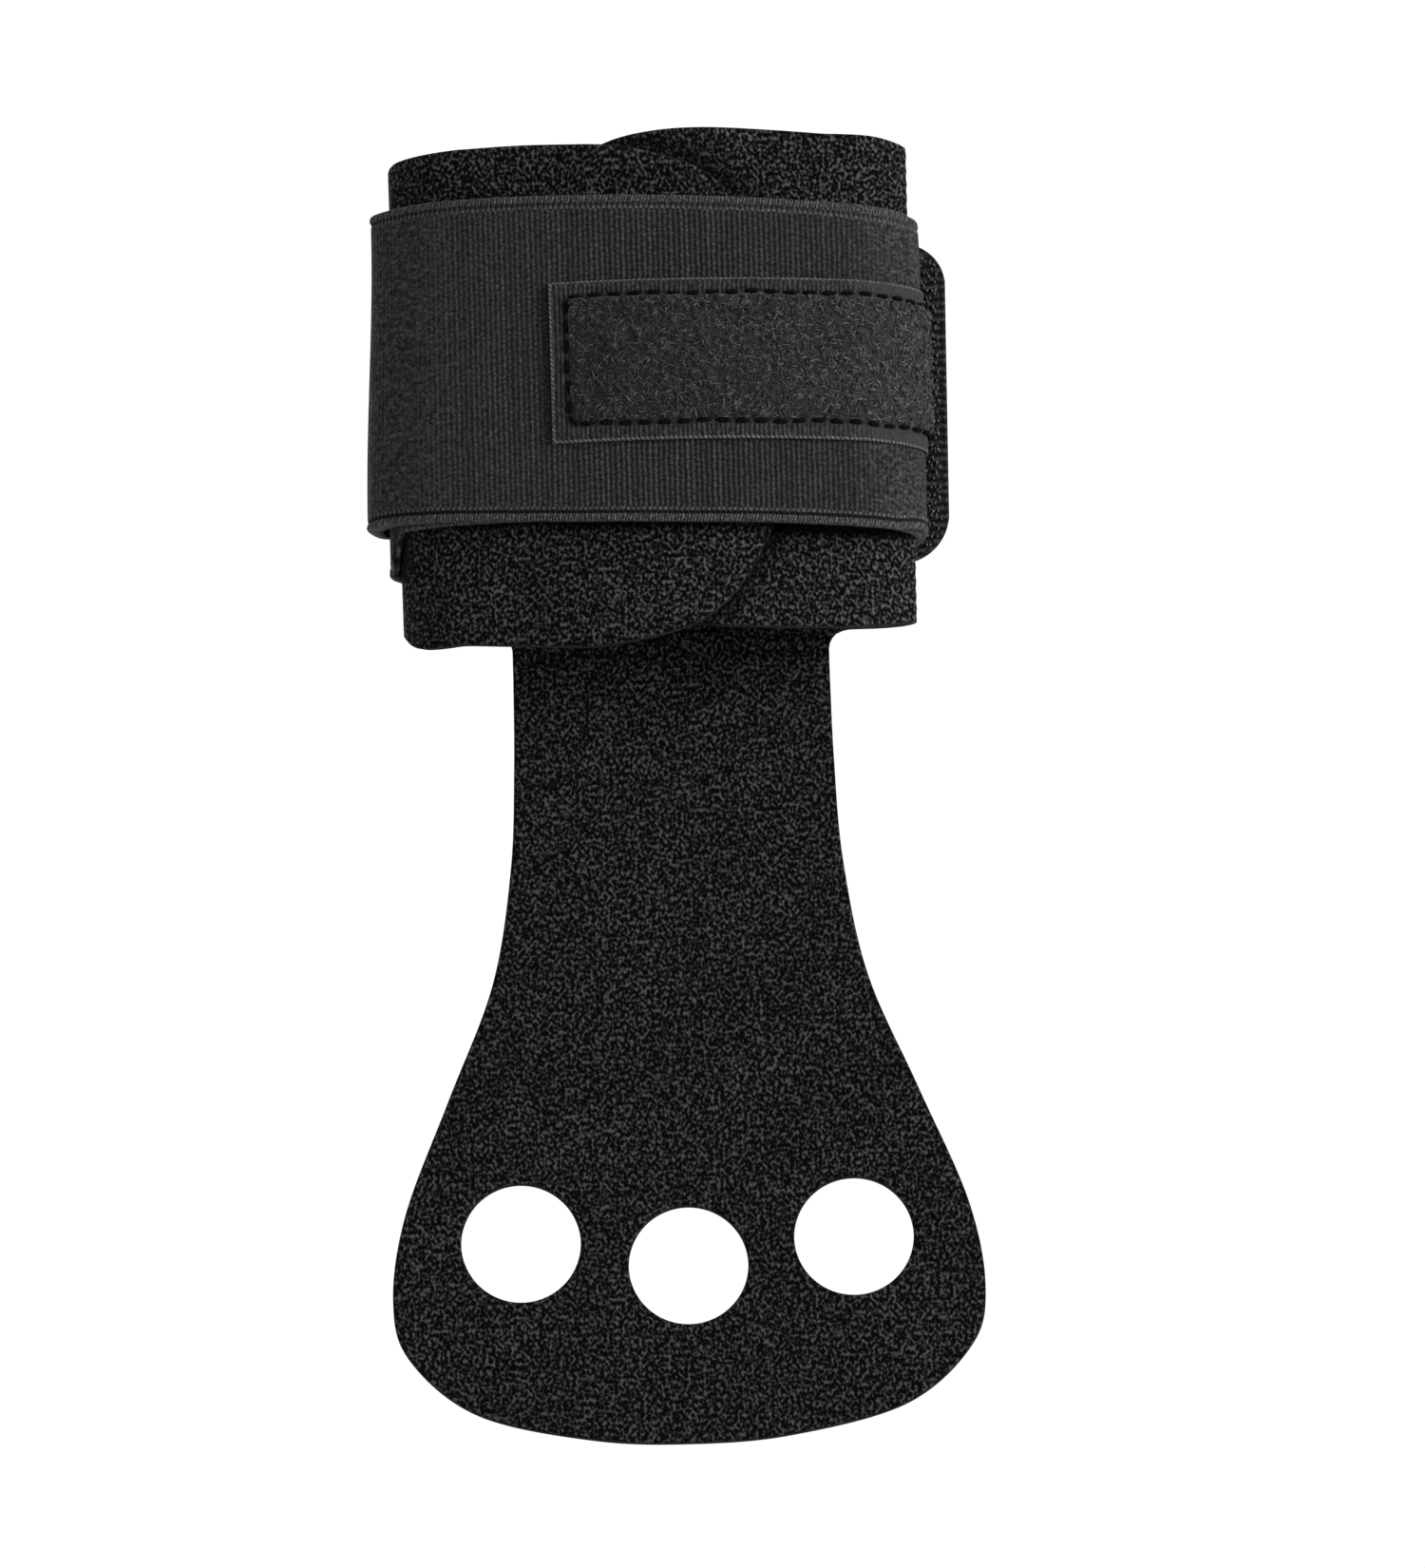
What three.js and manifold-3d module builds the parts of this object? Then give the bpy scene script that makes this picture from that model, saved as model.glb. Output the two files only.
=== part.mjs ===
// Hand grip for bar work. One cut sheet has a palm tongue with three finger holes and two wings
// that wrap the wrist, a wide elastic strap winds twice over the wings, and a hook tab at the end
// of the strap closes on a loop patch.
//
// Millimetres. The origin is the centre of the wrist opening, at half the elastic's height. +Z
// points up the forearm, the tongue hangs down -Z, -Y is the front, where the wings overlap, and
// +Y is the back, where the hook tab closes.
import * as THREE from 'three';
import { mergeVertices } from 'three/addons/utils/BufferGeometryUtils.js';
import Module from 'manifold-3d';

const wasm = await Module();
wasm.setup();

// Materials' thicknesses, and the clearance between two layers that touch
const SHEET = 2.0;
const ELASTIC = 1.2;
const LOOP_TAPE = 1.2;
const HOOK_TAPE = 1.4;
const THREAD = 0.4;
const THREAD_WIDTH = 0.6;
const GAP = 0.3;

// Wrist opening, inside the folded sheet
const OPENING_WIDTH = 75.8;
const OPENING_DEPTH = 14.0;
const FOLD_X = 29.9; // centre of each fold, off the middle
const FOLD_Y = 2.5; // and behind the middle: the back is flat and the front bows
const BOW = 4.5; // how much further back the front is at a fold's centre than in the middle
const FRONT_STEP = 7.5; // between stations along the front, at most
const FOLD_STEPS = 7; // steps in a quarter of a fold

// Hems of the sheet: [bottom, top] on the back panel and on each wing at the front
const BACK_HEMS = [-38.8, 33.2];
const RIGHT_WING_HEMS = [-42.0, 36.8];
const LEFT_WING_HEMS = [-44.6, 34.4];
const RIGHT_WING_TIP_X = -21.8;
const LEFT_WING_TIP_X = 23.8;
const WING_ROUNDING = 31.5; // length of a wing's rounded end
const WING_STEPS = 10;

// Tongue
const TONGUE_X = 1.6; // its middle
const TONGUE_FILLET = 3.0;
const TONGUE_HALF_WIDTH = 24.4;
const PALM_HINGE_Z = -47.5;
const FINGER_HINGE_Z = -137.0;
const HINGE_GAP = 0.2; // from the flex line to the edge on each side
const PALM_BEVEL = THREE.MathUtils.degToRad(45.5);
const FINGER_BEVEL = THREE.MathUtils.degToRad(52);
const HOLE_RADIUS = 9.2;
const SIDE_HOLE_X = 25.7;
const SIDE_HOLE_Z = -134.9;
const MIDDLE_HOLE_Z = -138.7;

// Strap: the wound elastic, its free tail, and the hook tab sewn to it
const STRAP_HALF_HEIGHT = 25.4;
const STRAP_SLANT = 1.5; // each turn is this much lower at the right fold, and higher at the left
const BACK_DROP = 5.4; // the inner turn hangs this much lower at the back
const STRAP_START_X = -24.0;
const TAIL_HINGE_X = -28.0;
const TAIL_END_X = -7.6;
const TAIL_Z = -1.0;
const TAB_SEWN_X = -15.6;
const TAB_HINGE_X = -7.0;
const TAB_END_X = 45.5;
const TAB_Z = -2.8;
const TAB_HEIGHT = 50.8;
const TAB_CORNERS = [7.8, 6.8]; // radii of the free corners, bottom and top
const SEAM_ROW_XS = [-14.2, -12.6, -10.2, -8.6];
const ANCHOR_ROW_XS = [-21.5, -17.5];
const ROW_MARGIN = 2.5; // from the end of a stitch row to the edge of the tape

// Loop patch, from the front round the right fold to the back
const PATCH_Z = -0.7;
const PATCH_HEIGHT = 25.4;
const PATCH_START_X = -15.5;
const PATCH_END_X = -2.0;
const PATCH_SLANT = 0.7; // how much lower it is at the right fold
const PATCH_STITCH_INSET = 2.4;

// Each layer's middle: how far it stands from the XZ plane, and how far it reaches past a fold's centre
const sheetBackY = OPENING_DEPTH / 2 + SHEET / 2;
const rightWingY = -sheetBackY;
const leftWingY = rightWingY - SHEET - GAP;
const sheetReach = OPENING_WIDTH / 2 + SHEET / 2 - FOLD_X;
const strapPitch = ELASTIC + GAP;
const innerBackY = sheetBackY + SHEET / 2 + GAP + ELASTIC / 2;
const outerBackY = innerBackY + strapPitch;
const tailY = outerBackY + strapPitch;
const innerFrontY = leftWingY - SHEET / 2 - GAP - ELASTIC / 2;
const outerFrontY = innerFrontY - strapPitch;
const innerReach = sheetReach + SHEET / 2 + GAP + ELASTIC / 2;
const outerReach = innerReach + strapPitch;
const patchOffset = ELASTIC / 2 + GAP + LOOP_TAPE / 2;
const patchFrontY = outerFrontY - patchOffset;
const patchBackY = outerBackY + patchOffset;
const patchReach = outerReach + patchOffset;
const tabY = tailY + ELASTIC / 2 + GAP + HOOK_TAPE / 2;
const threadOffset = LOOP_TAPE / 2 + GAP + THREAD / 2;

const materials = {
  sheet: new THREE.MeshStandardMaterial({ color: 0x1f1f1f, roughness: 0.95, metalness: 0 }),
  elastic: new THREE.MeshStandardMaterial({ color: 0x2a2a2b, roughness: 0.85, metalness: 0 }),
  loop: new THREE.MeshStandardMaterial({ color: 0x2c2c2c, roughness: 1.0, metalness: 0 }),
  hook: new THREE.MeshStandardMaterial({ color: 0x262626, roughness: 0.7, metalness: 0 }),
  thread: new THREE.MeshStandardMaterial({ color: 0x101010, roughness: 0.6, metalness: 0 }),
};

// A geometry as a solid that can be joined and cut, and back
function toSolid(geometry) {
  const bare = geometry.clone();
  bare.deleteAttribute('normal');
  bare.deleteAttribute('uv');
  const merged = mergeVertices(bare, 1e-4);
  const mesh = new wasm.Mesh({
    numProp: 3,
    vertProperties: new Float32Array(merged.attributes.position.array),
    triVerts: new Uint32Array(merged.index.array),
  });
  return new wasm.Manifold(mesh);
}

function toGeometry(solid) {
  const mesh = solid.getMesh();
  const geometry = new THREE.BufferGeometry();
  geometry.setAttribute('position', new THREE.BufferAttribute(mesh.vertProperties, 3));
  geometry.setIndex(new THREE.BufferAttribute(mesh.triVerts, 1));
  geometry.computeVertexNormals();
  return geometry;
}

// A station on a strip's middle line: its place in plan, and the strip's lower and upper edges there
function station(x, y, [bottom, top]) {
  return { x, y, bottom, top };
}

function between(from, to, share) {
  return from + (to - from) * share;
}

function hemsBetween(from, to, share) {
  return [between(from[0], to[0], share), between(from[1], to[1], share)];
}

// How far back the front is at x from where it would be if it were flat
function bow(x) {
  return BOW * (x / FOLD_X) ** 2;
}

// Stations along the bowed front, the first and last left out. y is the front's in the middle.
function front(fromX, toX, y, fromHems, toHems) {
  const steps = Math.ceil(Math.abs(toX - fromX) / FRONT_STEP);
  const stations = [];
  for (let i = 1; i < steps; i++) {
    const x = between(fromX, toX, i / steps);
    stations.push(station(x, y + bow(x), hemsBetween(fromHems, toHems, i / steps)));
  }
  return stations;
}

// The stations round a fold: a quarter ellipse at the back, and at the front one that goes on at
// the bow's slope. fromY and toY are the two faces' in the middle, and the front's is negative.
function fold(side, reach, fromY, toY, fromHems, toHems) {
  const slope = (2 * BOW) / FOLD_X;
  const stations = [];
  for (let i = 0; i <= 2 * FOLD_STEPS; i++) {
    const turn = (Math.PI * i) / (2 * FOLD_STEPS);
    const beyond = reach * Math.sin(turn);
    const faceY = i < FOLD_STEPS ? fromY : toY;
    const depth = faceY - FOLD_Y + (faceY < 0 ? BOW + slope * beyond : 0);
    const y = FOLD_Y + depth * Math.abs(Math.cos(turn));
    const hems = hemsBetween(fromHems, toHems, i / (2 * FOLD_STEPS));
    stations.push(station(side * (FOLD_X + beyond), y, hems));
  }
  return stations;
}

// A closed strip of even thickness that stands on edge along its stations
function strip(stations, thickness) {
  const positions = [];
  const last = stations.length - 1;
  stations.forEach(({ x, y, bottom, top }, i) => {
    const before = stations[Math.max(i - 1, 0)];
    const after = stations[Math.min(i + 1, last)];
    const along = new THREE.Vector2(after.x - before.x, after.y - before.y).normalize();
    const half = thickness / 2;
    const left = [x - along.y * half, y + along.x * half];
    const right = [x + along.y * half, y - along.x * half];
    positions.push(...left, bottom, ...right, bottom, ...right, top, ...left, top);
  });
  const index = [0, 1, 2, 0, 2, 3];
  for (let i = 0; i < last; i++) {
    for (let corner = 0; corner < 4; corner++) {
      const a = 4 * i + corner;
      const b = 4 * i + ((corner + 1) % 4);
      index.push(a, a + 4, b, b, a + 4, b + 4);
    }
  }
  const end = 4 * last;
  index.push(end, end + 2, end + 1, end, end + 3, end + 2);
  const geometry = new THREE.BufferGeometry();
  geometry.setAttribute('position', new THREE.Float32BufferAttribute(positions, 3));
  geometry.setIndex(index);
  geometry.computeVertexNormals();
  return geometry;
}

// A wing's rounded free end, from where its hems are straight to its tip
function wingEnd(tipX, y, [bottom, top]) {
  const direction = Math.sign(tipX);
  const startX = tipX - direction * WING_ROUNDING;
  const middle = (bottom + top) / 2;
  const halfHeight = (top - bottom) / 2;
  const stations = [];
  for (let i = 0; i <= WING_STEPS; i++) {
    const share = Math.sin((i / WING_STEPS) * 0.49 * Math.PI);
    const half = halfHeight * Math.sqrt(1 - share ** 2.3);
    const x = startX + direction * WING_ROUNDING * share;
    stations.push(station(x, y + bow(x), [middle - half, middle + half]));
  }
  return stations;
}

// A flat piece cut to a shape drawn in X and Z, and SHEET thick about the back panel's middle
function cutFromSheet(shape) {
  const geometry = new THREE.ExtrudeGeometry(shape, { depth: SHEET, bevelEnabled: false, curveSegments: 18 });
  geometry.rotateX(Math.PI / 2);
  geometry.translate(0, sheetBackY + SHEET / 2, 0);
  return geometry;
}

// The tongue: fillets under the back panel's hem, straight sides, a flared palm and a rounded end
function tongueShape() {
  const hem = BACK_HEMS[0];
  const side = [
    [24.4, -46], [24.6, -60], [25.5, -76], [28.8, -94], [36.0, -112],
    [43.1, -129.7], [45.6, -143.2], [43.4, -152.3], [33.3, -161.1], [15.9, -165.6],
  ];
  const right = side.map(([x, z]) => new THREE.Vector2(TONGUE_X + x, z));
  const left = side.map(([x, z]) => new THREE.Vector2(TONGUE_X - x, z)).reverse();
  const outline = new THREE.SplineCurve([...right, new THREE.Vector2(TONGUE_X, -166.5), ...left]);
  const filletX = TONGUE_HALF_WIDTH + TONGUE_FILLET;
  const filletZ = hem - TONGUE_FILLET;
  const shape = new THREE.Shape();
  shape.moveTo(TONGUE_X - filletX, hem + 1);
  shape.lineTo(TONGUE_X - filletX, hem);
  shape.absarc(TONGUE_X - filletX, filletZ, TONGUE_FILLET, Math.PI / 2, 0, true);
  outline.getPoints(72).reverse().forEach((point) => shape.lineTo(point.x, point.y));
  shape.absarc(TONGUE_X + filletX, filletZ, TONGUE_FILLET, Math.PI, Math.PI / 2, true);
  shape.lineTo(TONGUE_X + filletX, hem + 1);
  for (const [x, z] of [[-SIDE_HOLE_X, SIDE_HOLE_Z], [0, MIDDLE_HOLE_Z], [SIDE_HOLE_X, SIDE_HOLE_Z]]) {
    shape.holes.push(new THREE.Path().absarc(TONGUE_X + x, z, HOLE_RADIUS, 0, 2 * Math.PI, false));
  }
  return shape;
}

// A prism across the sheet between two flex lines. A bevelled end comes to a ridge at the line, so
// that the two pieces that meet there can fold to either side.
function flexSpan(top, bottom) {
  const reach = 3;
  const y = sheetBackY;
  const upper = top.z - HINGE_GAP;
  const lower = bottom.z + HINGE_GAP;
  const shape = new THREE.Shape();
  shape.moveTo(y, upper);
  shape.lineTo(y - reach, upper - reach * Math.tan(top.bevel));
  shape.lineTo(y - reach, lower + reach * Math.tan(bottom.bevel));
  shape.lineTo(y, lower);
  shape.lineTo(y + reach, lower + reach * Math.tan(bottom.bevel));
  shape.lineTo(y + reach, upper - reach * Math.tan(top.bevel));
  const geometry = new THREE.ExtrudeGeometry(shape, { depth: 120, bevelEnabled: false });
  const axes = [new THREE.Vector3(0, 1, 0), new THREE.Vector3(0, 0, 1), new THREE.Vector3(1, 0, 0)];
  geometry.applyMatrix4(new THREE.Matrix4().makeBasis(...axes));
  geometry.translate(-60, 0, 0);
  return toSolid(geometry);
}

const above = { z: BACK_HEMS[0] + 10, bevel: 0 };
const palmLine = { z: PALM_HINGE_Z, bevel: PALM_BEVEL };
const fingerLine = { z: FINGER_HINGE_Z, bevel: FINGER_BEVEL };
const below = { z: -180, bevel: 0 };
const tongue = toSolid(cutFromSheet(tongueShape()));

// The sheet round the wrist: right wing, right fold, back panel, left fold, left wing
function wristCuff() {
  const rightHems = RIGHT_WING_HEMS;
  const leftHems = LEFT_WING_HEMS;
  const stations = [
    ...wingEnd(RIGHT_WING_TIP_X, rightWingY, rightHems).reverse(),
    ...front(RIGHT_WING_TIP_X + WING_ROUNDING, FOLD_X, rightWingY, rightHems, rightHems),
    ...fold(1, sheetReach, rightWingY, sheetBackY, rightHems, BACK_HEMS),
    ...fold(-1, sheetReach, sheetBackY, leftWingY, BACK_HEMS, leftHems),
    ...front(-FOLD_X, LEFT_WING_TIP_X - WING_ROUNDING, leftWingY, leftHems, leftHems),
    ...wingEnd(LEFT_WING_TIP_X, leftWingY, leftHems),
  ];
  const stub = tongue.intersect(flexSpan(above, palmLine));
  return toGeometry(toSolid(strip(stations, SHEET)).add(stub));
}

// The strap's edges where it hangs lower than its top turn
function strapHems(drop) {
  return [-STRAP_HALF_HEIGHT - drop, STRAP_HALF_HEIGHT - drop];
}

// Two turns, from the end sewn to the back panel: right fold, front, left fold, and again
function elasticWrap() {
  const back = strapHems(BACK_DROP);
  const right = strapHems(STRAP_SLANT);
  const left = strapHems(-STRAP_SLANT);
  const tail = strapHems(-TAIL_Z);
  return strip([
    station(STRAP_START_X, innerBackY, back),
    ...fold(1, innerReach, innerBackY, innerFrontY, back, right),
    ...front(FOLD_X, -FOLD_X, innerFrontY, right, left),
    ...fold(-1, innerReach, innerFrontY, outerBackY, left, back),
    ...fold(1, outerReach, outerBackY, outerFrontY, right, right),
    ...front(FOLD_X, -FOLD_X, outerFrontY, right, left),
    ...fold(-1, outerReach, outerFrontY, tailY, left, tail),
    station(TAIL_HINGE_X - GAP / 2, tailY, tail),
  ], ELASTIC);
}

// A run along the patch at a height within it: along the front, then part of the way round the fold
function patchRun(startX, offset, hems, foldSteps) {
  const lower = hems.map((z) => z - PATCH_SLANT);
  const y = patchFrontY - offset;
  return [
    station(startX, y + bow(startX), hems),
    ...front(startX, FOLD_X, y, hems, lower),
    ...fold(1, patchReach + offset, y, patchBackY, lower, lower).slice(0, foldSteps),
  ];
}

const patchHems = [PATCH_Z - PATCH_HEIGHT / 2, PATCH_Z + PATCH_HEIGHT / 2];

function loopPatch() {
  const stations = patchRun(PATCH_START_X, 0, patchHems, 2 * FOLD_STEPS + 1);
  const { bottom, top } = stations[stations.length - 1];
  return strip([...stations, station(PATCH_END_X, patchBackY, [bottom, top])], LOOP_TAPE);
}

// The thread along the patch's upper edge, down its free end and back along its lower edge
function patchStitching() {
  const startX = PATCH_START_X + PATCH_STITCH_INSET;
  const row = (z) => {
    const hems = [z - THREAD_WIDTH / 2, z + THREAD_WIDTH / 2];
    return toSolid(strip(patchRun(startX, threadOffset, hems, FOLD_STEPS), THREAD));
  };
  const low = patchHems[0] + PATCH_STITCH_INSET;
  const high = patchHems[1] - PATCH_STITCH_INSET;
  const column = [low - THREAD_WIDTH / 2, high + THREAD_WIDTH / 2];
  const ends = [startX, startX + THREAD_WIDTH];
  const end = strip(ends.map((x) => station(x, patchFrontY - threadOffset + bow(x), column)), THREAD);
  return toGeometry(row(low).add(row(high)).add(toSolid(end)));
}

// A flat rectangle of tape that stands in the XZ plane; corners are the radii of its right corners,
// bottom and top
function tape(fromX, toX, height, thickness, corners) {
  const half = height / 2;
  const shape = new THREE.Shape();
  shape.moveTo(fromX, -half);
  if (corners) {
    const [low, high] = corners;
    shape.lineTo(toX - low, -half);
    shape.absarc(toX - low, low - half, low, -Math.PI / 2, 0, false);
    shape.absarc(toX - high, half - high, high, 0, Math.PI / 2, false);
  } else {
    shape.lineTo(toX, -half);
    shape.lineTo(toX, half);
  }
  shape.lineTo(fromX, half);
  const geometry = new THREE.ExtrudeGeometry(shape, { depth: thickness, bevelEnabled: false, curveSegments: 8 });
  geometry.translate(0, 0, -thickness / 2);
  geometry.rotateX(Math.PI / 2);
  return geometry;
}

function stitchRow(height) {
  return new THREE.BoxGeometry(THREAD_WIDTH, THREAD, height - 2 * ROW_MARGIN);
}

const grip = new THREE.Group();

function addPiece(name, geometry, material, parent = grip) {
  const mesh = new THREE.Mesh(geometry, materials[material]);
  mesh.name = name;
  parent.add(mesh);
  return mesh;
}

// Sheet: the band round the wrist, then the tongue's two parts below it
addPiece('wrist_cuff', wristCuff(), 'sheet');
addPiece('palm_panel', toGeometry(tongue.intersect(flexSpan(palmLine, fingerLine))), 'sheet');
addPiece('finger_panel', toGeometry(tongue.intersect(flexSpan(fingerLine, below))), 'sheet');

// Strap wound round the cuff, with the rows that sew its end to the back panel
addPiece('elastic_wrap', elasticWrap(), 'elastic');
addPiece('loop_patch', loopPatch(), 'loop');
addPiece('loop_patch_stitching', patchStitching(), 'thread');
ANCHOR_ROW_XS.forEach((x, i) => {
  const row = addPiece(`anchor_stitch_row_${i + 1}`, stitchRow(2 * STRAP_HALF_HEIGHT), 'thread');
  row.position.set(x, sheetBackY - SHEET / 2 - GAP - THREAD / 2, -4);
});

// Free end of the strap, behind the back panel
const freeEnd = new THREE.Group();
grip.add(freeEnd);
const tail = tape(TAIL_HINGE_X + GAP / 2, TAIL_END_X, 2 * STRAP_HALF_HEIGHT, ELASTIC);
addPiece('elastic_tail', tail, 'elastic', freeEnd).position.set(0, tailY, TAIL_Z);
const sewnEnd = tape(TAB_SEWN_X, TAB_HINGE_X - GAP / 2, TAB_HEIGHT, HOOK_TAPE);
addPiece('hook_tab_sewn_end', sewnEnd, 'hook', freeEnd).position.set(0, tabY, TAB_Z);
const tab = tape(TAB_HINGE_X + GAP / 2, TAB_END_X, TAB_HEIGHT, HOOK_TAPE, TAB_CORNERS);
addPiece('hook_tab', tab, 'hook', freeEnd).position.set(0, tabY, TAB_Z);
SEAM_ROW_XS.forEach((x, i) => {
  const row = addPiece(`seam_stitch_row_${i + 1}`, stitchRow(TAB_HEIGHT), 'thread', freeEnd);
  row.position.set(x, tabY + HOOK_TAPE / 2 + GAP + THREAD / 2, TAB_Z);
});

export default grip;
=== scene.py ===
"""The looks of the hand grip: cloth, tape, pile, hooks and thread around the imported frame.

X is to the right, Z is up the forearm, and -Y is the front, where the wings of the sheet overlap.
"""

import math

import bpy
import numpy as np
from mathutils import Matrix, Vector
from mathutils.geometry import delaunay_2d_cdt
from mathutils.kdtree import KDTree


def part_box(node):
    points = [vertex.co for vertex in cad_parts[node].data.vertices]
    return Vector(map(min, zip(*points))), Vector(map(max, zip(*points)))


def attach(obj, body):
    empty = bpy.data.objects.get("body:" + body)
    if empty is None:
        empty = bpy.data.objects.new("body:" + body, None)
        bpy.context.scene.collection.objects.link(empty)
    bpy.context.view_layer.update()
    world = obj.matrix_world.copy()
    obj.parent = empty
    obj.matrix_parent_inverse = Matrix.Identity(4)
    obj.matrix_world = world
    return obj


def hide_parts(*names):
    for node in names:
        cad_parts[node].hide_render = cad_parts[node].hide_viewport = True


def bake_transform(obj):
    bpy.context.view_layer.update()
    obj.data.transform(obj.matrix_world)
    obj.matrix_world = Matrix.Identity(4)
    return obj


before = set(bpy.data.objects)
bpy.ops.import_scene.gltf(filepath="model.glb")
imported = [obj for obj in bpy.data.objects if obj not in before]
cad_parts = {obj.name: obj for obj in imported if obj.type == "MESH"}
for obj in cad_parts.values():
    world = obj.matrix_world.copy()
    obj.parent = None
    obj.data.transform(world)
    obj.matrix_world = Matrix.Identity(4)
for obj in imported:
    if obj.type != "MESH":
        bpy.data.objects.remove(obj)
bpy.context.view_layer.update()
MM = 0.001


def box_mm(node):
    """A CAD node's lowest and highest corners, in millimetres."""
    return [np.array(corner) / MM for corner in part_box(node)]


# ---------------------------------------------------------------- camera, light and stage

VIEW_WIDTH = 220.5  # of the picture, at the object
VIEW_TILT = math.radians(-11.0)  # the camera looks up at the grip
VIEW_ROLL = math.radians(1.67)
VIEW_CENTRE = (9.3, -63.4)  # the picture's middle from the origin, across and up
VIEW_DISTANCE = 4000.0
SENSOR_WIDTH = 36.0
FLOOR_Z = -880.0
WORLD_LIGHT = 0.42  # the even light on the grip
WORLD_SEEN = 1.05  # the white behind it
LIGHT_TARGET_Z = -60.0
# Each soft light's place, width and power.
LIGHTS = {
    "key": ((1250, -750, 350), 800, 32),
    "fill": ((-1000, -900, 100), 1100, 5),
    "back": ((-300, 1200, 500), 1100, 12),
}


def add_camera():
    data = bpy.data.cameras.new("camera")
    data.sensor_fit = "HORIZONTAL"
    data.sensor_width = SENSOR_WIDTH
    data.lens = SENSOR_WIDTH * VIEW_DISTANCE / VIEW_WIDTH
    data.clip_start, data.clip_end = 0.1, 40
    camera = bpy.data.objects.new("camera", data)
    bpy.context.scene.collection.objects.link(camera)
    forward = Vector((0, math.cos(VIEW_TILT), -math.sin(VIEW_TILT)))
    level = Vector((1, 0, 0))
    upright = level.cross(forward)
    right = level * math.cos(VIEW_ROLL) - upright * math.sin(VIEW_ROLL)
    up = level * math.sin(VIEW_ROLL) + upright * math.cos(VIEW_ROLL)
    target = right * VIEW_CENTRE[0] + up * VIEW_CENTRE[1]
    turn = Matrix((right, up, -forward)).transposed().to_4x4()
    camera.matrix_world = Matrix.Translation((target - forward * VIEW_DISTANCE) * MM) @ turn
    bpy.context.scene.camera = camera


def add_area_light(name, place, size, power):
    """A soft square light, in millimetres, that faces the grip."""
    data = bpy.data.lights.new(name, "AREA")
    data.shape, data.size, data.energy = "SQUARE", size * MM, power
    light = bpy.data.objects.new(name, data)
    bpy.context.scene.collection.objects.link(light)
    light.location = Vector(place) * MM
    aim = Vector((0, 0, LIGHT_TARGET_Z * MM)) - light.location
    light.rotation_euler = aim.to_track_quat("-Z", "Y").to_euler()


def add_world():
    """White behind the grip, and a dimmer even light on it."""
    world = bpy.data.worlds.new("studio")
    world.use_nodes = True
    tree = world.node_tree
    tree.nodes.clear()
    out = tree.nodes.new("ShaderNodeOutputWorld")
    mix = tree.nodes.new("ShaderNodeMixShader")
    path = tree.nodes.new("ShaderNodeLightPath")
    for i, strength in enumerate((WORLD_LIGHT, WORLD_SEEN)):
        white = tree.nodes.new("ShaderNodeBackground")
        white.inputs["Color"].default_value = (1, 1, 1, 1)
        white.inputs["Strength"].default_value = strength
        tree.links.new(white.outputs[0], mix.inputs[i + 1])
    tree.links.new(path.outputs["Is Camera Ray"], mix.inputs["Fac"])
    tree.links.new(mix.outputs[0], out.inputs["Surface"])
    bpy.context.scene.world = world


add_camera()
add_world()
for light_name, settings in LIGHTS.items():
    add_area_light(light_name, *settings)
bpy.context.scene.view_settings.view_transform = "Standard"


# ---------------------------------------------------------------- materials

RIB_PITCH = 0.82  # of the elastic's upright ribs
BEAD_PITCH = 0.9  # of the beads up each rib
TICK_PITCH = 0.5  # of the selvage's overlocked threads
SELVAGE = 1.2  # its width
PATCH_SHADE = 1.0  # how far the painted shadow beside the loop patch reaches
BORDER_PITCH = 0.74  # of the ribs in the loop tape's border
TWILL_STEP = 1.25  # along the tape, from one slanted rib of the twill to the next
TWILL_SLANT = 0.55  # how much each rib gains along the tape for its rise
TWILL_CROSS_STEP = TWILL_STEP * 0.62  # up the tape, of the finer ribs that cross them
TWILL_CROSSING = 0.9  # their slant the other way
HOOK_PITCH = 1.3  # from one row of hooks to the next
THREAD_TWIST = 0.42  # from one ply of a thread to the next
COOL, COOLER = (1.0, 1.0, 1.01), (1.0, 1.0, 1.02)  # tints of black cloth


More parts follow.
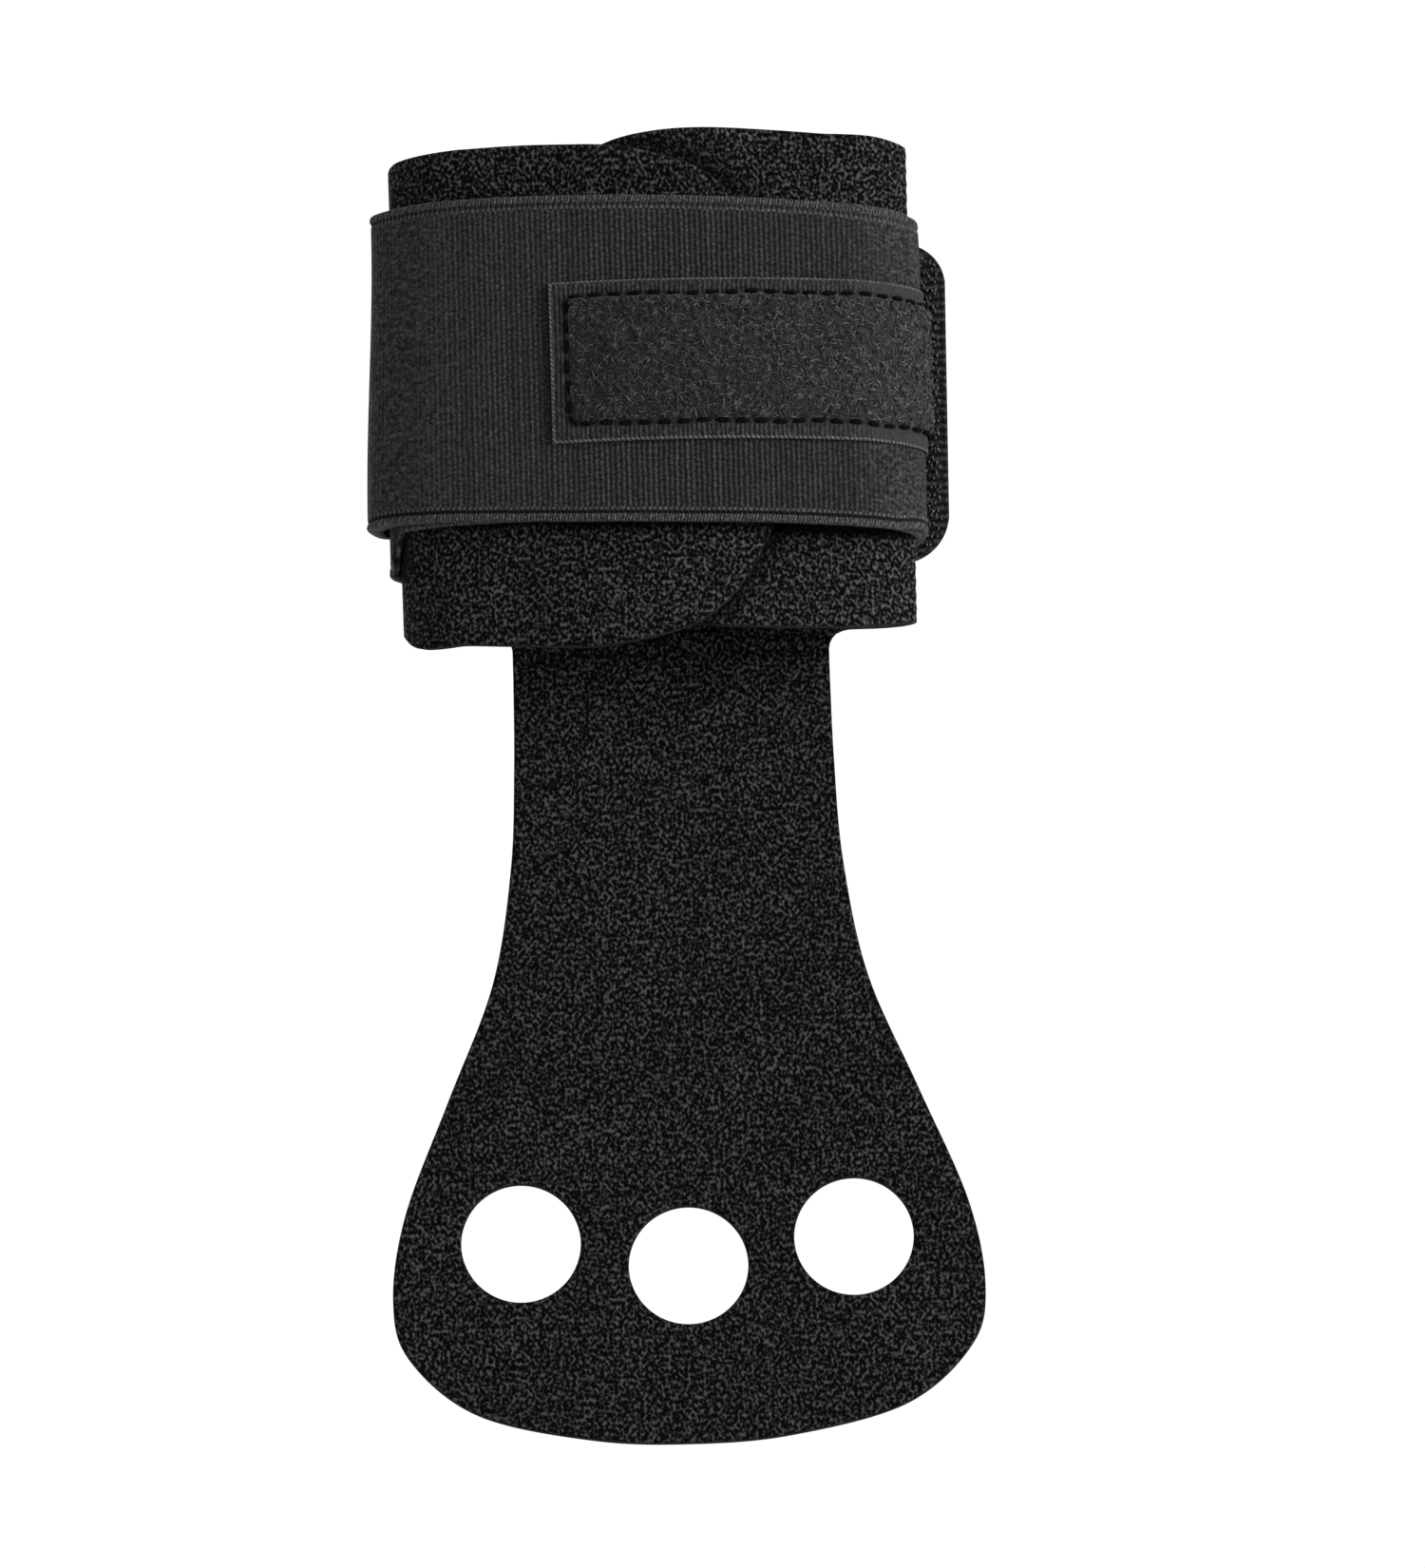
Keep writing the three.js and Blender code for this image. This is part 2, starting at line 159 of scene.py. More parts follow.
class Shader:
    """A Principled material and short ways to wire its nodes."""

    def __init__(self, name, **fixed):
        self.material = bpy.data.materials.new(name)
        self.material.use_nodes = True
        self.tree = self.material.node_tree
        self.surface = self.tree.nodes["Principled BSDF"]
        for socket, value in fixed.items():
            self.surface.inputs[socket.replace("_", " ")].default_value = value
        self.flat = self.attribute("flat")["Vector"]

    def node(self, kind, inputs=(), **settings):
        node = self.tree.nodes.new(kind)
        for key, value in settings.items():
            setattr(node, key, value)
        for key, value in dict(inputs).items():
            self.put(value, node.inputs[key])
        return node

    def attribute(self, name):
        return self.node("ShaderNodeAttribute", attribute_name=name).outputs

    def put(self, value, socket):
        if isinstance(value, bpy.types.NodeSocket):
            self.tree.links.new(value, socket)
        else:
            socket.default_value = value

    def math(self, operation, *values):
        node = self.node("ShaderNodeMath", operation=operation)
        for socket, value in zip(node.inputs, values):
            self.put(value, socket)
        return node.outputs[0]

    def times(self, value, *factors):
        for factor in factors:
            value = self.math("MULTIPLY", value, factor)
        return value

    def add(self, base, value, share=1.0):
        """base and a share of value."""
        return self.math("MULTIPLY_ADD", value, share, base)

    def away(self, value, centre):
        """How far value is from centre, either way."""
        return self.math("ABSOLUTE", self.math("SUBTRACT", value, centre))

    def place(self, scale=(1, 1, 1)):
        """Where a point lies on the flat cloth, in millimetres: along it, up it and through it."""
        return self.node("ShaderNodeMapping", {"Vector": self.flat, "Scale": scale}).outputs[0]

    def axis(self, name):
        return self.node("ShaderNodeSeparateXYZ", {"Vector": self.flat}).outputs[name]

    def noise(self, scale, detail=2.0, roughness=0.5, distortion=0.0, stretch=(1, 1, 1)):
        inputs = {
            "Vector": self.place(stretch),
            "Scale": scale,
            "Detail": detail,
            "Roughness": roughness,
            "Distortion": distortion,
        }
        return self.node("ShaderNodeTexNoise", inputs).outputs[0]

    def ramp(self, value, low, high, first=0.0, last=1.0):
        """value from low to high becomes first to last, and no further."""
        limits = {"From Min": low, "From Max": high, "To Min": first, "To Max": last}
        return self.node("ShaderNodeMapRange", {"Value": value, **limits}).outputs[0]

    def tone(self, value, low, high, contrast, light, dark):
        """A brightness: dark where value is low, and light more than that where it is high."""
        return self.add(dark, self.math("POWER", self.ramp(value, low, high), contrast), light)

    def mix(self, first, second, share):
        """first where share is 0 and second where it is 1."""
        return self.add(first, self.math("SUBTRACT", second, first), share)

    def wave(self, value, period, phase=0.0):
        """From 1 to 0 and back in each period of value."""
        turns = self.add(phase, value, 2 * math.pi / period)
        return self.add(0.5, self.math("COSINE", turns), 0.5)

    def shaded(self, tone):
        """The tone times the light that the mesh says each point keeps."""
        return self.times(tone, self.attribute("shade")["Fac"])

    def grey(self, value, tint=(1, 1, 1)):
        """A colour of that brightness goes to the surface."""
        node = self.node("ShaderNodeCombineColor")
        for socket, part in zip(node.inputs, tint):
            self.put(self.times(value, part), socket)
        self.tree.links.new(node.outputs[0], self.surface.inputs["Base Color"])

    def bump(self, height, depth_mm, strength=1.0):
        inputs = {"Height": height, "Distance": depth_mm * MM, "Strength": strength}
        node = self.node("ShaderNodeBump", inputs)
        self.tree.links.new(node.outputs[0], self.surface.inputs["Normal"])

    def roughness(self, value):
        self.tree.links.new(value, self.surface.inputs["Roughness"])


def sheet_material():
    """Microfibre with a pebbled face: short raised worms of pile over a darker ground."""
    m = Shader("pebbled_microfibre", Specular_IOR_Level=0.055, Sheen_Weight=0.015, Sheen_Roughness=0.5)
    worms = m.noise(1.85, detail=0.2, distortion=0.3, stretch=(1.1, 0.9, 1))
    fine = m.noise(4.6, detail=1.0, roughness=0.6)
    height = m.add(m.ramp(worms, 0.36, 0.72), m.math("SUBTRACT", fine, 0.5), 0.6)
    cloudy = m.ramp(m.noise(0.07, detail=3.0), 0.3, 0.7, 0.85, 1.15)
    face = m.times(m.tone(height, 0.02, 1.0, contrast=2.15, light=0.0575, dark=0.0001), cloudy)
    core = m.ramp(fine, 0.38, 0.65, 0.001, 0.03)
    in_the_cut = m.ramp(m.math("ABSOLUTE", m.axis("Z")), 0.9, 0.6)
    m.grey(m.shaded(m.mix(face, core, in_the_cut)), COOL)
    m.bump(height, 0.25, 0.8)
    m.roughness(m.ramp(height, 0.2, 1.1, 0.95, 0.75))
    return m.material


def elastic_material():
    """Upright ribs of covered rubber broken into small beads, and a ticked selvage on each edge."""
    m = Shader("ribbed_elastic", Specular_IOR_Level=0.12, Sheen_Weight=0.05, Sheen_Roughness=0.5)
    along, up, from_edge = m.axis("X"), m.axis("Y"), m.axis("Z")
    wander = m.noise(0.5, detail=1.0, stretch=(1, 0.08, 1))
    across = m.add(along, wander, 0.35)
    ribs = m.wave(across, RIB_PITCH)
    rib = m.math("ROUND", m.math("DIVIDE", across, RIB_PITCH))
    chance = m.node("ShaderNodeTexWhiteNoise", {"W": rib}, noise_dimensions="1D").outputs["Value"]
    stagger = m.noise(0.8, detail=1.0, stretch=(1, 0.35, 1))
    beads = m.wave(m.add(m.add(up, chance, 9.0), stagger, 1.6), BEAD_PITCH)
    yarn = m.ramp(m.noise(2.4, roughness=0.65, stretch=(1, 0.6, 1)), 0.3, 0.7)
    height = m.add(m.times(m.math("POWER", ribs, 1.4), 0.75), beads, 0.35)
    height = m.add(height, yarn, 0.8)
    worn = m.add(0.70, chance, 0.5)
    tone = m.times(m.tone(height, 0.2, 1.8, contrast=2.1, light=0.060, dark=0.0012), worn)

    # Seen from the side the ribs close up, and only a mottled grey is left of them.
    mottle = m.noise(1.3, roughness=0.65)
    plain = m.tone(mottle, 0.35, 0.7, contrast=1.5, light=0.052, dark=0.003)
    turned = m.node("ShaderNodeLayerWeight", {"Blend": 0.5}).outputs["Facing"]
    tone = m.mix(tone, plain, m.ramp(turned, 0.02, 0.17))

    # From the edge in: the selvage's ticks, a dark line, and a pale head between each two ribs.
    # The line is broken up along the upper edge and unbroken along the lower one.
    slanted = m.add(m.add(along, wander, 0.5), up, 0.3)
    ticks = m.times(m.wave(slanted, TICK_PITCH), m.ramp(yarn, 0.1, 0.8, 0.05, 1.0))
    selvage = m.add(0.005, ticks, 0.105)
    line = m.times(m.wave(along, RIB_PITCH), yarn, 0.003)
    dots = m.times(ribs, m.ramp(yarn, 0.0, 0.6))
    unbroken = m.math("MAXIMUM", m.ramp(up, 5.0, -5.0), m.add(0.42, dots, 0.6))
    heads = m.times(m.wave(across, RIB_PITCH, math.pi), m.ramp(yarn, 0.2, 0.8, 0.2, 1.0))
    heads = m.add(0.006, heads, 0.105)
    in_line = m.times(m.ramp(from_edge, SELVAGE + 0.65, SELVAGE + 0.5), unbroken)
    tone = m.mix(tone, heads, m.ramp(from_edge, SELVAGE + 1.1, SELVAGE + 0.95))
    tone = m.mix(tone, line, in_line)
    tone = m.mix(tone, selvage, m.ramp(from_edge, SELVAGE + 0.05, SELVAGE - 0.05))

    # A painted shadow darkens the elastic along the loop patch's left edge.
    beside = m.math("SUBTRACT", along, PATCH_EDGE_S)
    level = m.away(up, (PATCH_TOP + PATCH_BOTTOM) / 2)
    patch_shadow = m.times(
        m.ramp(beside, -0.3, 0.0),
        m.ramp(beside, PATCH_SHADE, 0.25),
        m.ramp(level, (PATCH_TOP - PATCH_BOTTOM) / 2 + 0.3, 12.0),
    )
    m.grey(m.shaded(m.times(tone, m.ramp(patch_shadow, 0.0, 1.0, 1.0, 0.08))), COOL)
    m.bump(height, 0.14)
    m.roughness(m.ramp(yarn, 0.0, 1.0, 0.9, 0.7))
    return m.material


def seam_shade(m):
    """1 on the loop tape and less along the stitches: painted shade in the groove where the tape is
    pulled in.
    """
    return m.ramp(m.away(m.axis("Z"), 1.0), 0.08, 0.3, 0.75, 1.0)


def pile_material():
    """The brushed face of loop tape, under its loose fibres."""
    m = Shader("brushed_loop_pile", Specular_IOR_Level=0.1, Sheen_Weight=0.12, Sheen_Roughness=0.5)
    m.surface.inputs["Roughness"].default_value = 0.9
    curls = m.noise(1.1, detail=2.5, roughness=0.6, distortion=1.5)
    height = m.add(m.ramp(curls, 0.3, 0.7), m.noise(3.6, roughness=0.6), 0.5)
    tone = m.tone(height, 0.2, 1.3, contrast=1.6, light=0.03, dark=0.0008)
    m.grey(m.shaded(m.times(tone, seam_shade(m))))
    m.bump(height, 0.3)
    return m.material


def fibre_material():
    m = Shader("loose_fibre", Specular_IOR_Level=0.15, Roughness=0.75, Sheen_Weight=0.12)
    m.grey(m.shaded(m.tone(m.noise(0.8), 0.3, 0.7, contrast=2.8, light=0.15, dark=0.0015)))
    return m.material


def border_material():
    """The flat woven edge of the loop tape, with a thin beaded line at its cut, painted light as a
    highlight.
    """
    m = Shader("loop_tape_border", Specular_IOR_Level=0.12, Sheen_Weight=0.04, Sheen_Roughness=0.5)
    wander = m.noise(0.5, detail=1.0, stretch=(1, 0.1, 1))
    ribs = m.wave(m.add(m.axis("X"), wander, 0.6), BORDER_PITCH)
    yarn = m.ramp(m.noise(2.4, detail=3.0, roughness=0.65, stretch=(1, 0.5, 1)), 0.3, 0.7)
    height = m.add(m.times(ribs, 0.6), yarn, 0.8)
    tone = m.tone(height, 0.15, 1.4, contrast=2.1, light=0.066, dark=0.002)
    turned = m.node("ShaderNodeLayerWeight", {"Blend": 0.5}).outputs["Facing"]
    tone = m.mix(tone, m.ramp(yarn, 0.0, 1.0, 0.014, 0.032), m.ramp(turned, 0.03, 0.2))
    # The beads at the cut are painted light: a painted highlight on the beaded edge.
    beads = m.times(m.wave(m.add(m.axis("X"), m.axis("Y")), BORDER_PITCH), yarn)
    cut_highlight = m.ramp(m.axis("Z"), 0.17, 0.12)
    m.grey(m.mix(m.times(tone, seam_shade(m)), m.add(0.018, beads, 0.17), cut_highlight))
    m.bump(height, 0.12)
    m.roughness(m.ramp(yarn, 0.0, 1.0, 0.9, 0.7))
    return m.material


def twill_material():
    """The back of the hook tape: a coarse twill."""
    m = Shader("twill_tape", Specular_IOR_Level=0.2, Sheen_Weight=0.1, Sheen_Roughness=0.5)
    along, up = m.axis("X"), m.axis("Y")
    diagonal = m.wave(m.add(along, up, TWILL_SLANT), TWILL_STEP)
    across = m.wave(m.add(up, along, -TWILL_CROSSING), TWILL_CROSS_STEP)
    yarn = m.noise(2.0, detail=3.0, roughness=0.65)
    height = m.add(m.add(m.times(across, 0.35), diagonal, 0.55), yarn, 0.6)
    m.grey(m.ramp(height, 0.3, 1.2, 0.006, 0.045), COOLER)
    m.bump(height, 0.18)
    m.roughness(m.ramp(yarn, 0.3, 0.7, 0.85, 0.6))
    return m.material


def hook_material():
    """The woven ground that the hooks stand on."""
    m = Shader("hook_ground", Specular_IOR_Level=0.15, Roughness=0.8)
    rows = m.wave(m.add(m.axis("Y"), m.noise(0.5), 0.3), HOOK_PITCH)
    weave = m.ramp(m.noise(1.5, roughness=0.6, stretch=(0.6, 1, 1)), 0.3, 0.65)
    ground = m.times(rows, weave)
    m.grey(m.tone(ground, 0.0, 1.0, contrast=1.3, light=0.055, dark=0.0004))
    m.bump(ground, 0.25)
    return m.material


def nylon_material():
    m = Shader("hook_nylon", Specular_IOR_Level=0.5, Roughness=0.45)
    m.grey(m.tone(m.noise(0.9), 0.3, 0.7, contrast=1.6, light=0.20, dark=0.006))
    return m.material


def thread_material(name, dark, light, shine, sheen):
    """Three-ply thread: its twist runs slantwise along each stitch."""
    m = Shader(name, Specular_IOR_Level=shine, Sheen_Weight=sheen)
    yarn = m.noise(3.0)
    height = m.add(m.wave(m.add(m.axis("X"), m.axis("Y")), THREAD_TWIST), yarn, 0.5)
    m.grey(m.ramp(height, 0.2, 1.3, dark, light))
    m.bump(height, 0.08)
    m.roughness(m.ramp(yarn, 0.3, 0.7, 0.8, 0.55))
    return m.material


def floor_material():
    m = Shader("pale_floor", Roughness=0.8, Specular_IOR_Level=0.2)
    m.surface.inputs["Base Color"].default_value = (0.86, 0.86, 0.86, 1)
    return m.material


# ---------------------------------------------------------------- meshes


def smooth(t):
    t = np.clip(t, 0, 1)
    return t * t * (3 - 2 * t)


def hill(t):
    """1 at 0, and next to nothing past 2 on either side."""
    return np.exp(-(t**2))


def build(name, points, faces, flat, materials, slots=None):
    """A smooth-shaded mesh of points in millimetres. flat is each point's place on the flat cloth."""
    mesh = bpy.data.meshes.new(name)
    mesh.from_pydata((np.asarray(points) * MM).tolist(), [], faces)
    attribute = mesh.attributes.new("flat", "FLOAT_VECTOR", "POINT")
    attribute.data.foreach_set("vector", np.asarray(flat, np.float32).ravel())
    for material in materials:
        mesh.materials.append(material)
    mesh.polygons.foreach_set("use_smooth", [True] * len(mesh.polygons))
    if slots is not None:
        mesh.polygons.foreach_set("material_index", slots)
    mesh.update()
    piece = bpy.data.objects.new(name, mesh)
    bpy.context.scene.collection.objects.link(piece)
    return piece


def add_shade(piece, shade):
    """How much of its light each point keeps."""
    attribute = piece.data.attributes.new("shade", "FLOAT", "POINT")
    attribute.data.foreach_set("value", np.asarray(shade, np.float32))


def points_mm(piece):
    points = np.empty(3 * len(piece.data.vertices), np.float32)
    piece.data.vertices.foreach_get("co", points)
    return points.reshape(-1, 3) / MM


class Route:
    """A line in plan that a strip of cloth follows. outward points away from the wrist."""

    def __init__(self, parts, outward_side):
        points = np.concatenate(parts)
        keep = np.append(True, np.linalg.norm(np.diff(points, axis=0), axis=1) > 1e-6)
        self.points = points[keep]
        steps = np.linalg.norm(np.diff(self.points, axis=0), axis=1)
        self.s = np.append(0, np.cumsum(steps))
        self.length = self.s[-1]
        along = np.gradient(self.points, self.s, axis=0)
        along /= np.linalg.norm(along, axis=1)[:, None]
        self.out = np.stack([-along[:, 1], along[:, 0]], axis=1) * outward_side

    def place(self, s, z, lift):
        """Points at distance s along the route, at height z, lifted outward."""
        s, z, lift = np.broadcast_arrays(s, z, lift)
        x, y = (np.interp(s, self.s, self.points[:, i]) for i in (0, 1))
        out_x, out_y = (np.interp(s, self.s, self.out[:, i]) for i in (0, 1))
        long = np.hypot(out_x, out_y)
        return np.stack([x + out_x / long * lift, y + out_y / long * lift, z], axis=-1)

    def nearest(self, x, y):
        """The distance along the route of its point nearest to (x, y)."""
        return self.s[np.argmin(np.hypot(*(self.points - (x, y)).T))]


def straight(start_x, end_x, y):
    x = np.linspace(start_x, end_x, max(2, round(abs(end_x - start_x) / 0.5)))
    return np.stack([x, np.full_like(x, y)], axis=1)


def bow(x):
    """How far back the cuff's front is at x from where it would be if it were flat."""
    return BOW * (np.asarray(x) / FOLD_X) ** 2


def front(start_x, end_x, y):
    """Along the bowed front. y is the front's in the middle."""
    line = straight(start_x, end_x, y)
    line[:, 1] += bow(line[:, 0])
    return line


def fold(side, reach, start_y, end_y):
    """Round a fold of the cuff: a quarter ellipse at the back, and in front on from the bow's slope."""
    turn = np.linspace(0, math.pi, 97)
    beyond = reach * np.sin(turn)
    face_y = np.where(turn < math.pi / 2, start_y, end_y)
    depth = face_y - FOLD_Y + np.where(face_y < 0, BOW + 2 * BOW / FOLD_X * beyond, 0)
    y = FOLD_Y + depth * np.abs(np.cos(turn))
    return np.stack([side * (FOLD_X + beyond), y], axis=1)


END_FACE = 0.12  # the ends of a strip are rounded over from this far in


def ribbon(
    name, route, s, low, high, rows, half, outer, inner, materials,
    slot_of=None, cut=(True, True), third=None,
):
    """A strip that stands on edge along a route: two faces that meet in round edges.

    s holds its columns. low and high are its edges at each column, and rows the places of its
    points from one edge, 0, to the other, 1. half is half the thickness. outer and inner are the
    relief of the two faces, functions of distance along, height and distance from the nearest edge.
    slot_of picks each face's material from its middle's flat place and whether it faces outward.
    cut says which of the two ends are cut ends, rounded over, and not a join with the next strip.
    third gives the flat place's third number, which is otherwise the distance from the nearest edge.
    """
    count = len(rows)
    height = (high - low)[:, None]
    z = low[:, None] + rows[None, :] * height
    inset = np.minimum(rows, 1 - rows)[None, :] * height
    for is_cut, away in zip(cut, (s - s[0], s[-1] - s)):
        if is_cut:
            inset = np.minimum(inset, away[:, None] + END_FACE)
    round_edge = np.sqrt(np.clip(1 - (1 - np.clip(inset / half, 0, 1)) ** 2, 0, 1))
    s_grid = np.broadcast_to(s[:, None], z.shape)

    def ring(face, other):
        """Up one face at each column and back down the other."""
        return np.concatenate([face, other[:, -2:0:-1]], axis=1)

    outer_lift = half * round_edge + outer(s_grid, z, inset) * round_edge
    inner_lift = -half * round_edge - inner(s_grid, z, inset) * round_edge
    lift, heights = ring(outer_lift, inner_lift), ring(z, z)
    around = lift.shape[1]
    s_ring = np.broadcast_to(s[:, None], lift.shape)
    points = route.place(s_ring, heights, lift).reshape(-1, 3)
    from_edge = ring(inset, inset) if third is None else third(s_ring, heights)
    flat = np.stack([s_ring, heights, from_edge], axis=-1).reshape(-1, 3)
    first = np.arange(len(s) - 1)[:, None] * around
    here = np.arange(around)[None, :]
    there = (here + 1) % around
    corners = [first + here, first + around + here, first + around + there, first + there]
    quads = np.stack(corners, axis=-1)
    place_in_ring = np.broadcast_to(here, quads.shape[:2]).ravel()
    quads = quads.reshape(-1, 4)
    end = (len(s) - 1) * around
    caps = []
    for start, flip in ((0, False), (end, True)):
        for i in range(count - 1):
            a, b = start + i, start + i + 1
            c, d = start + (around - i - 1) % around, start + (around - i) % around
            corners = [a, b, c, d] if flip else [d, c, b, a]
            unique = list(dict.fromkeys(corners))
            if len(unique) > 2:
                caps.append(unique)
    slots = None
    if slot_of is not None:
        middle = flat[quads].mean(axis=1)
        outside = place_in_ring < count - 1
        slots = list(slot_of(middle, outside)) + [0] * len(caps)
    return build(name, points, quads.tolist() + caps, flat, materials, slots)


def end_columns(start, end, step, fine=(0.12, 0.3, 0.6)):
    """Distances along a strip: fine at both ends, even between."""
    inner = np.linspace(start + fine[-1], end - fine[-1], round((end - start) / step) + 1)
    near = np.array([0, *fine[:-1]])
    return np.concatenate([start + near, inner, end - near[::-1]])


def edge_rows(height, fine, step):
    """Row places from 0 to 1 of the height: the fine distances from each edge, then even steps."""
    inner = np.arange(fine[-1] + step, height / 2, step)
    near = np.concatenate([fine, inner]) / height
    return np.concatenate([near, [0.5], 1 - near[::-1]])


# ---------------------------------------------------------------- sizes, from the frame

sheet_low, sheet_high = box_mm("wrist_cuff")
palm_low, palm_high = box_mm("palm_panel")
finger_low, finger_high = box_mm("finger_panel")
tail_low, tail_high = box_mm("elastic_tail")
patch_low, patch_high = box_mm("loop_patch")
tab_low, tab_high = box_mm("hook_tab")
sewn_low, sewn_high = box_mm("hook_tab_sewn_end")

SHEET = palm_high[1] - palm_low[1]
ELASTIC = tail_high[1] - tail_low[1]
PATCH_HEIGHT = 25.4
GAP = sewn_low[1] - tail_high[1]
HOOK_TAPE = tab_high[1] - tab_low[1]
STRAP_HEIGHT = tail_high[2] - tail_low[2]
FOLD_X, FOLD_Y = 29.9, 2.5  # the centre of each fold
BOW = 4.5  # how much further back the front is there than in the middle
PITCH = ELASTIC + GAP  # from one turn of the strap to the next

BACK_Y = (palm_low[1] + palm_high[1]) / 2
RIGHT_WING_Y = -BACK_Y
LEFT_WING_Y = sheet_low[1] + SHEET / 2
SHEET_REACH = sheet_high[0] - SHEET / 2 - FOLD_X
INNER_REACH = SHEET_REACH + SHEET / 2 + GAP + ELASTIC / 2
INNER_BACK_Y = BACK_Y + SHEET / 2 + GAP + ELASTIC / 2
INNER_FRONT_Y = LEFT_WING_Y - SHEET / 2 - GAP - ELASTIC / 2


# ---------------------------------------------------------------- the body sheet

RIGHT_TIP_X, LEFT_TIP_X = -21.8, 22.0  # how far across the front each wing reaches
# The wings' cut edges in front, (x, z), from the fold round the tip and back to the fold.
RIGHT_WING = [
    (27, -41.7), (15, -41.7), (7, -41.3), (2, -40.7), (-9, -37.2), (-16.5, -29.5), (-20.6, -17),
    (-21.8, -2), (-20.8, 13), (-17.6, 25), (-11.5, 32), (-5.8, 35.2), (1.0, 36.7), (9, 37.1),
    (20, 36.6), (27, 36.2),
]
LEFT_WING = [
    (-27, 34.9), (-18, 34.8), (-8, 34.2), (-2, 33.3), (3.0, 31.9), (8.2, 29.8), (13.2, 25.5),
    (18.2, 17), (21.2, 5), (22.0, -7), (20.4, -19), (17.6, -27), (13.8, -34.1), (10.3, -38.4),
    (6.0, -41.5), (0.5, -43.4), (-8, -44.8), (-15, -44.5), (-24, -43.7),
]
# The hems from the back's middle to the start of each wing: how far along, from 0 at the middle,
# 1 at the start of the fold, 1.5 at its outermost line and 2 at its end; then the height.
RIGHT_LOW = [(0.99, -39.5), (1.05, -39.5), (1.3, -39.7), (1.5, -40.0), (1.75, -40.9), (2, -41.5)]
RIGHT_HIGH = [(2, 36.2), (1.75, 36.1), (1.5, 35.1), (1.3, 34.2), (1, 33.4), (0.5, 33.2), (0, 33.2)]
LEFT_HIGH = [(0, 33.2), (0.5, 33.2), (1, 33.2), (1.25, 33.3), (1.45, 33.5), (1.6, 34.5), (2, 34.9)]
LEFT_LOW = [
    (2, -43.1), (1.88, -43.1), (1.78, -43.0), (1.68, -42.7), (1.6, -42.0), (1.5, -40.3),
    (1.4, -39.2), (1.3, -38.9), (1, -38.8), (0.93, -38.6),
]
TONGUE_X = (palm_low[0] + palm_high[0]) / 2
TONGUE_FILLET = 3.0
# The tongue's right side, (x from its middle, z), from the wings down; the left side mirrors it.
TONGUE_SIDE = [
    (24.5, -46), (24.75, -60), (25.7, -76), (29.0, -94), (36.3, -112),
    (43.4, -129.7), (45.65, -143.2), (43.3, -152.3), (33.1, -161.1), (15.5, -165.5),
]
HOLE_RADIUS = 9.2
HOLES = [(-25.7, -134.6), (0, -138.7), (25.6, -134.9)]
EDGE_ROUND = 0.45
WINGS_BOTTOM = -46.0  # lower down there is only the tongue
TONGUE_FLAT = 26  # this near the tongue's middle the back is straight, and x is u
TONGUE_BAND = 28  # this near it, the faces below CUFF_SPLIT_Z are the tongue's
CUFF_SPLIT_Z = -42.6  # where the cuff's mesh ends on the tongue
PALM_SPLIT_Z = -92.0  # and the palm's
OUTLINE_STEP, HOLE_STEP, SHEET_STEP = 0.9, 0.7, 1.25  # between the mesh's points
FOLD_MIDDLE = 44.5  # how far along the sheet each fold's outermost line is from the back's middle
WING_LIFT = 1.0  # how far the left wing's free corners stand off the right wing
WING_LIFT_REACH = 5.0

sheet_route = Route(
    [
        front(RIGHT_TIP_X, FOLD_X, RIGHT_WING_Y),
        fold(1, SHEET_REACH, RIGHT_WING_Y, BACK_Y),
        straight(FOLD_X, -FOLD_X, BACK_Y),
        fold(-1, SHEET_REACH, BACK_Y, LEFT_WING_Y),
        front(-FOLD_X, LEFT_TIP_X, LEFT_WING_Y),
    ],
    -1,
)
sheet_middle = sheet_route.nearest(0, BACK_Y)


def spline(points, steps=12):
    """A smooth line through the points (uniform Catmull-Rom)."""
    p = np.array([points[0], *points, points[-1]], float)
    out = []
    t = np.linspace(0, 1, steps, endpoint=False)[:, None]
    for a, b, c, d in zip(p[:-3], p[1:-2], p[2:-1], p[3:]):
        bend, twist = 2 * a - 5 * b + 4 * c - d, 3 * b - a - 3 * c + d
        out.append(0.5 * (2 * b + (c - a) * t + bend * t**2 + twist * t**3))
    return np.concatenate([*out, p[-1:]])


def arc(centre, radius, start, end, steps=24):
    turn = np.radians(np.linspace(start, end, steps))
    return np.array(centre) + radius * np.stack([np.cos(turn), np.sin(turn)], axis=1)


def evenly(loop, step):
    """The closed loop with its points about step apart."""
    closed = np.concatenate([loop, loop[:1]])
    s = np.append(0, np.cumsum(np.linalg.norm(np.diff(closed, axis=0), axis=1)))
    at = np.linspace(0, s[-1], round(s[-1] / step), endpoint=False)
    return np.stack([np.interp(at, s, closed[:, i]) for i in (0, 1)], axis=1)


def along_front(start_x, end_x):
    """The distance along the bowed front between two places."""
    line = front(start_x, end_x, 0)
    return np.linalg.norm(np.diff(line, axis=0), axis=1).sum()


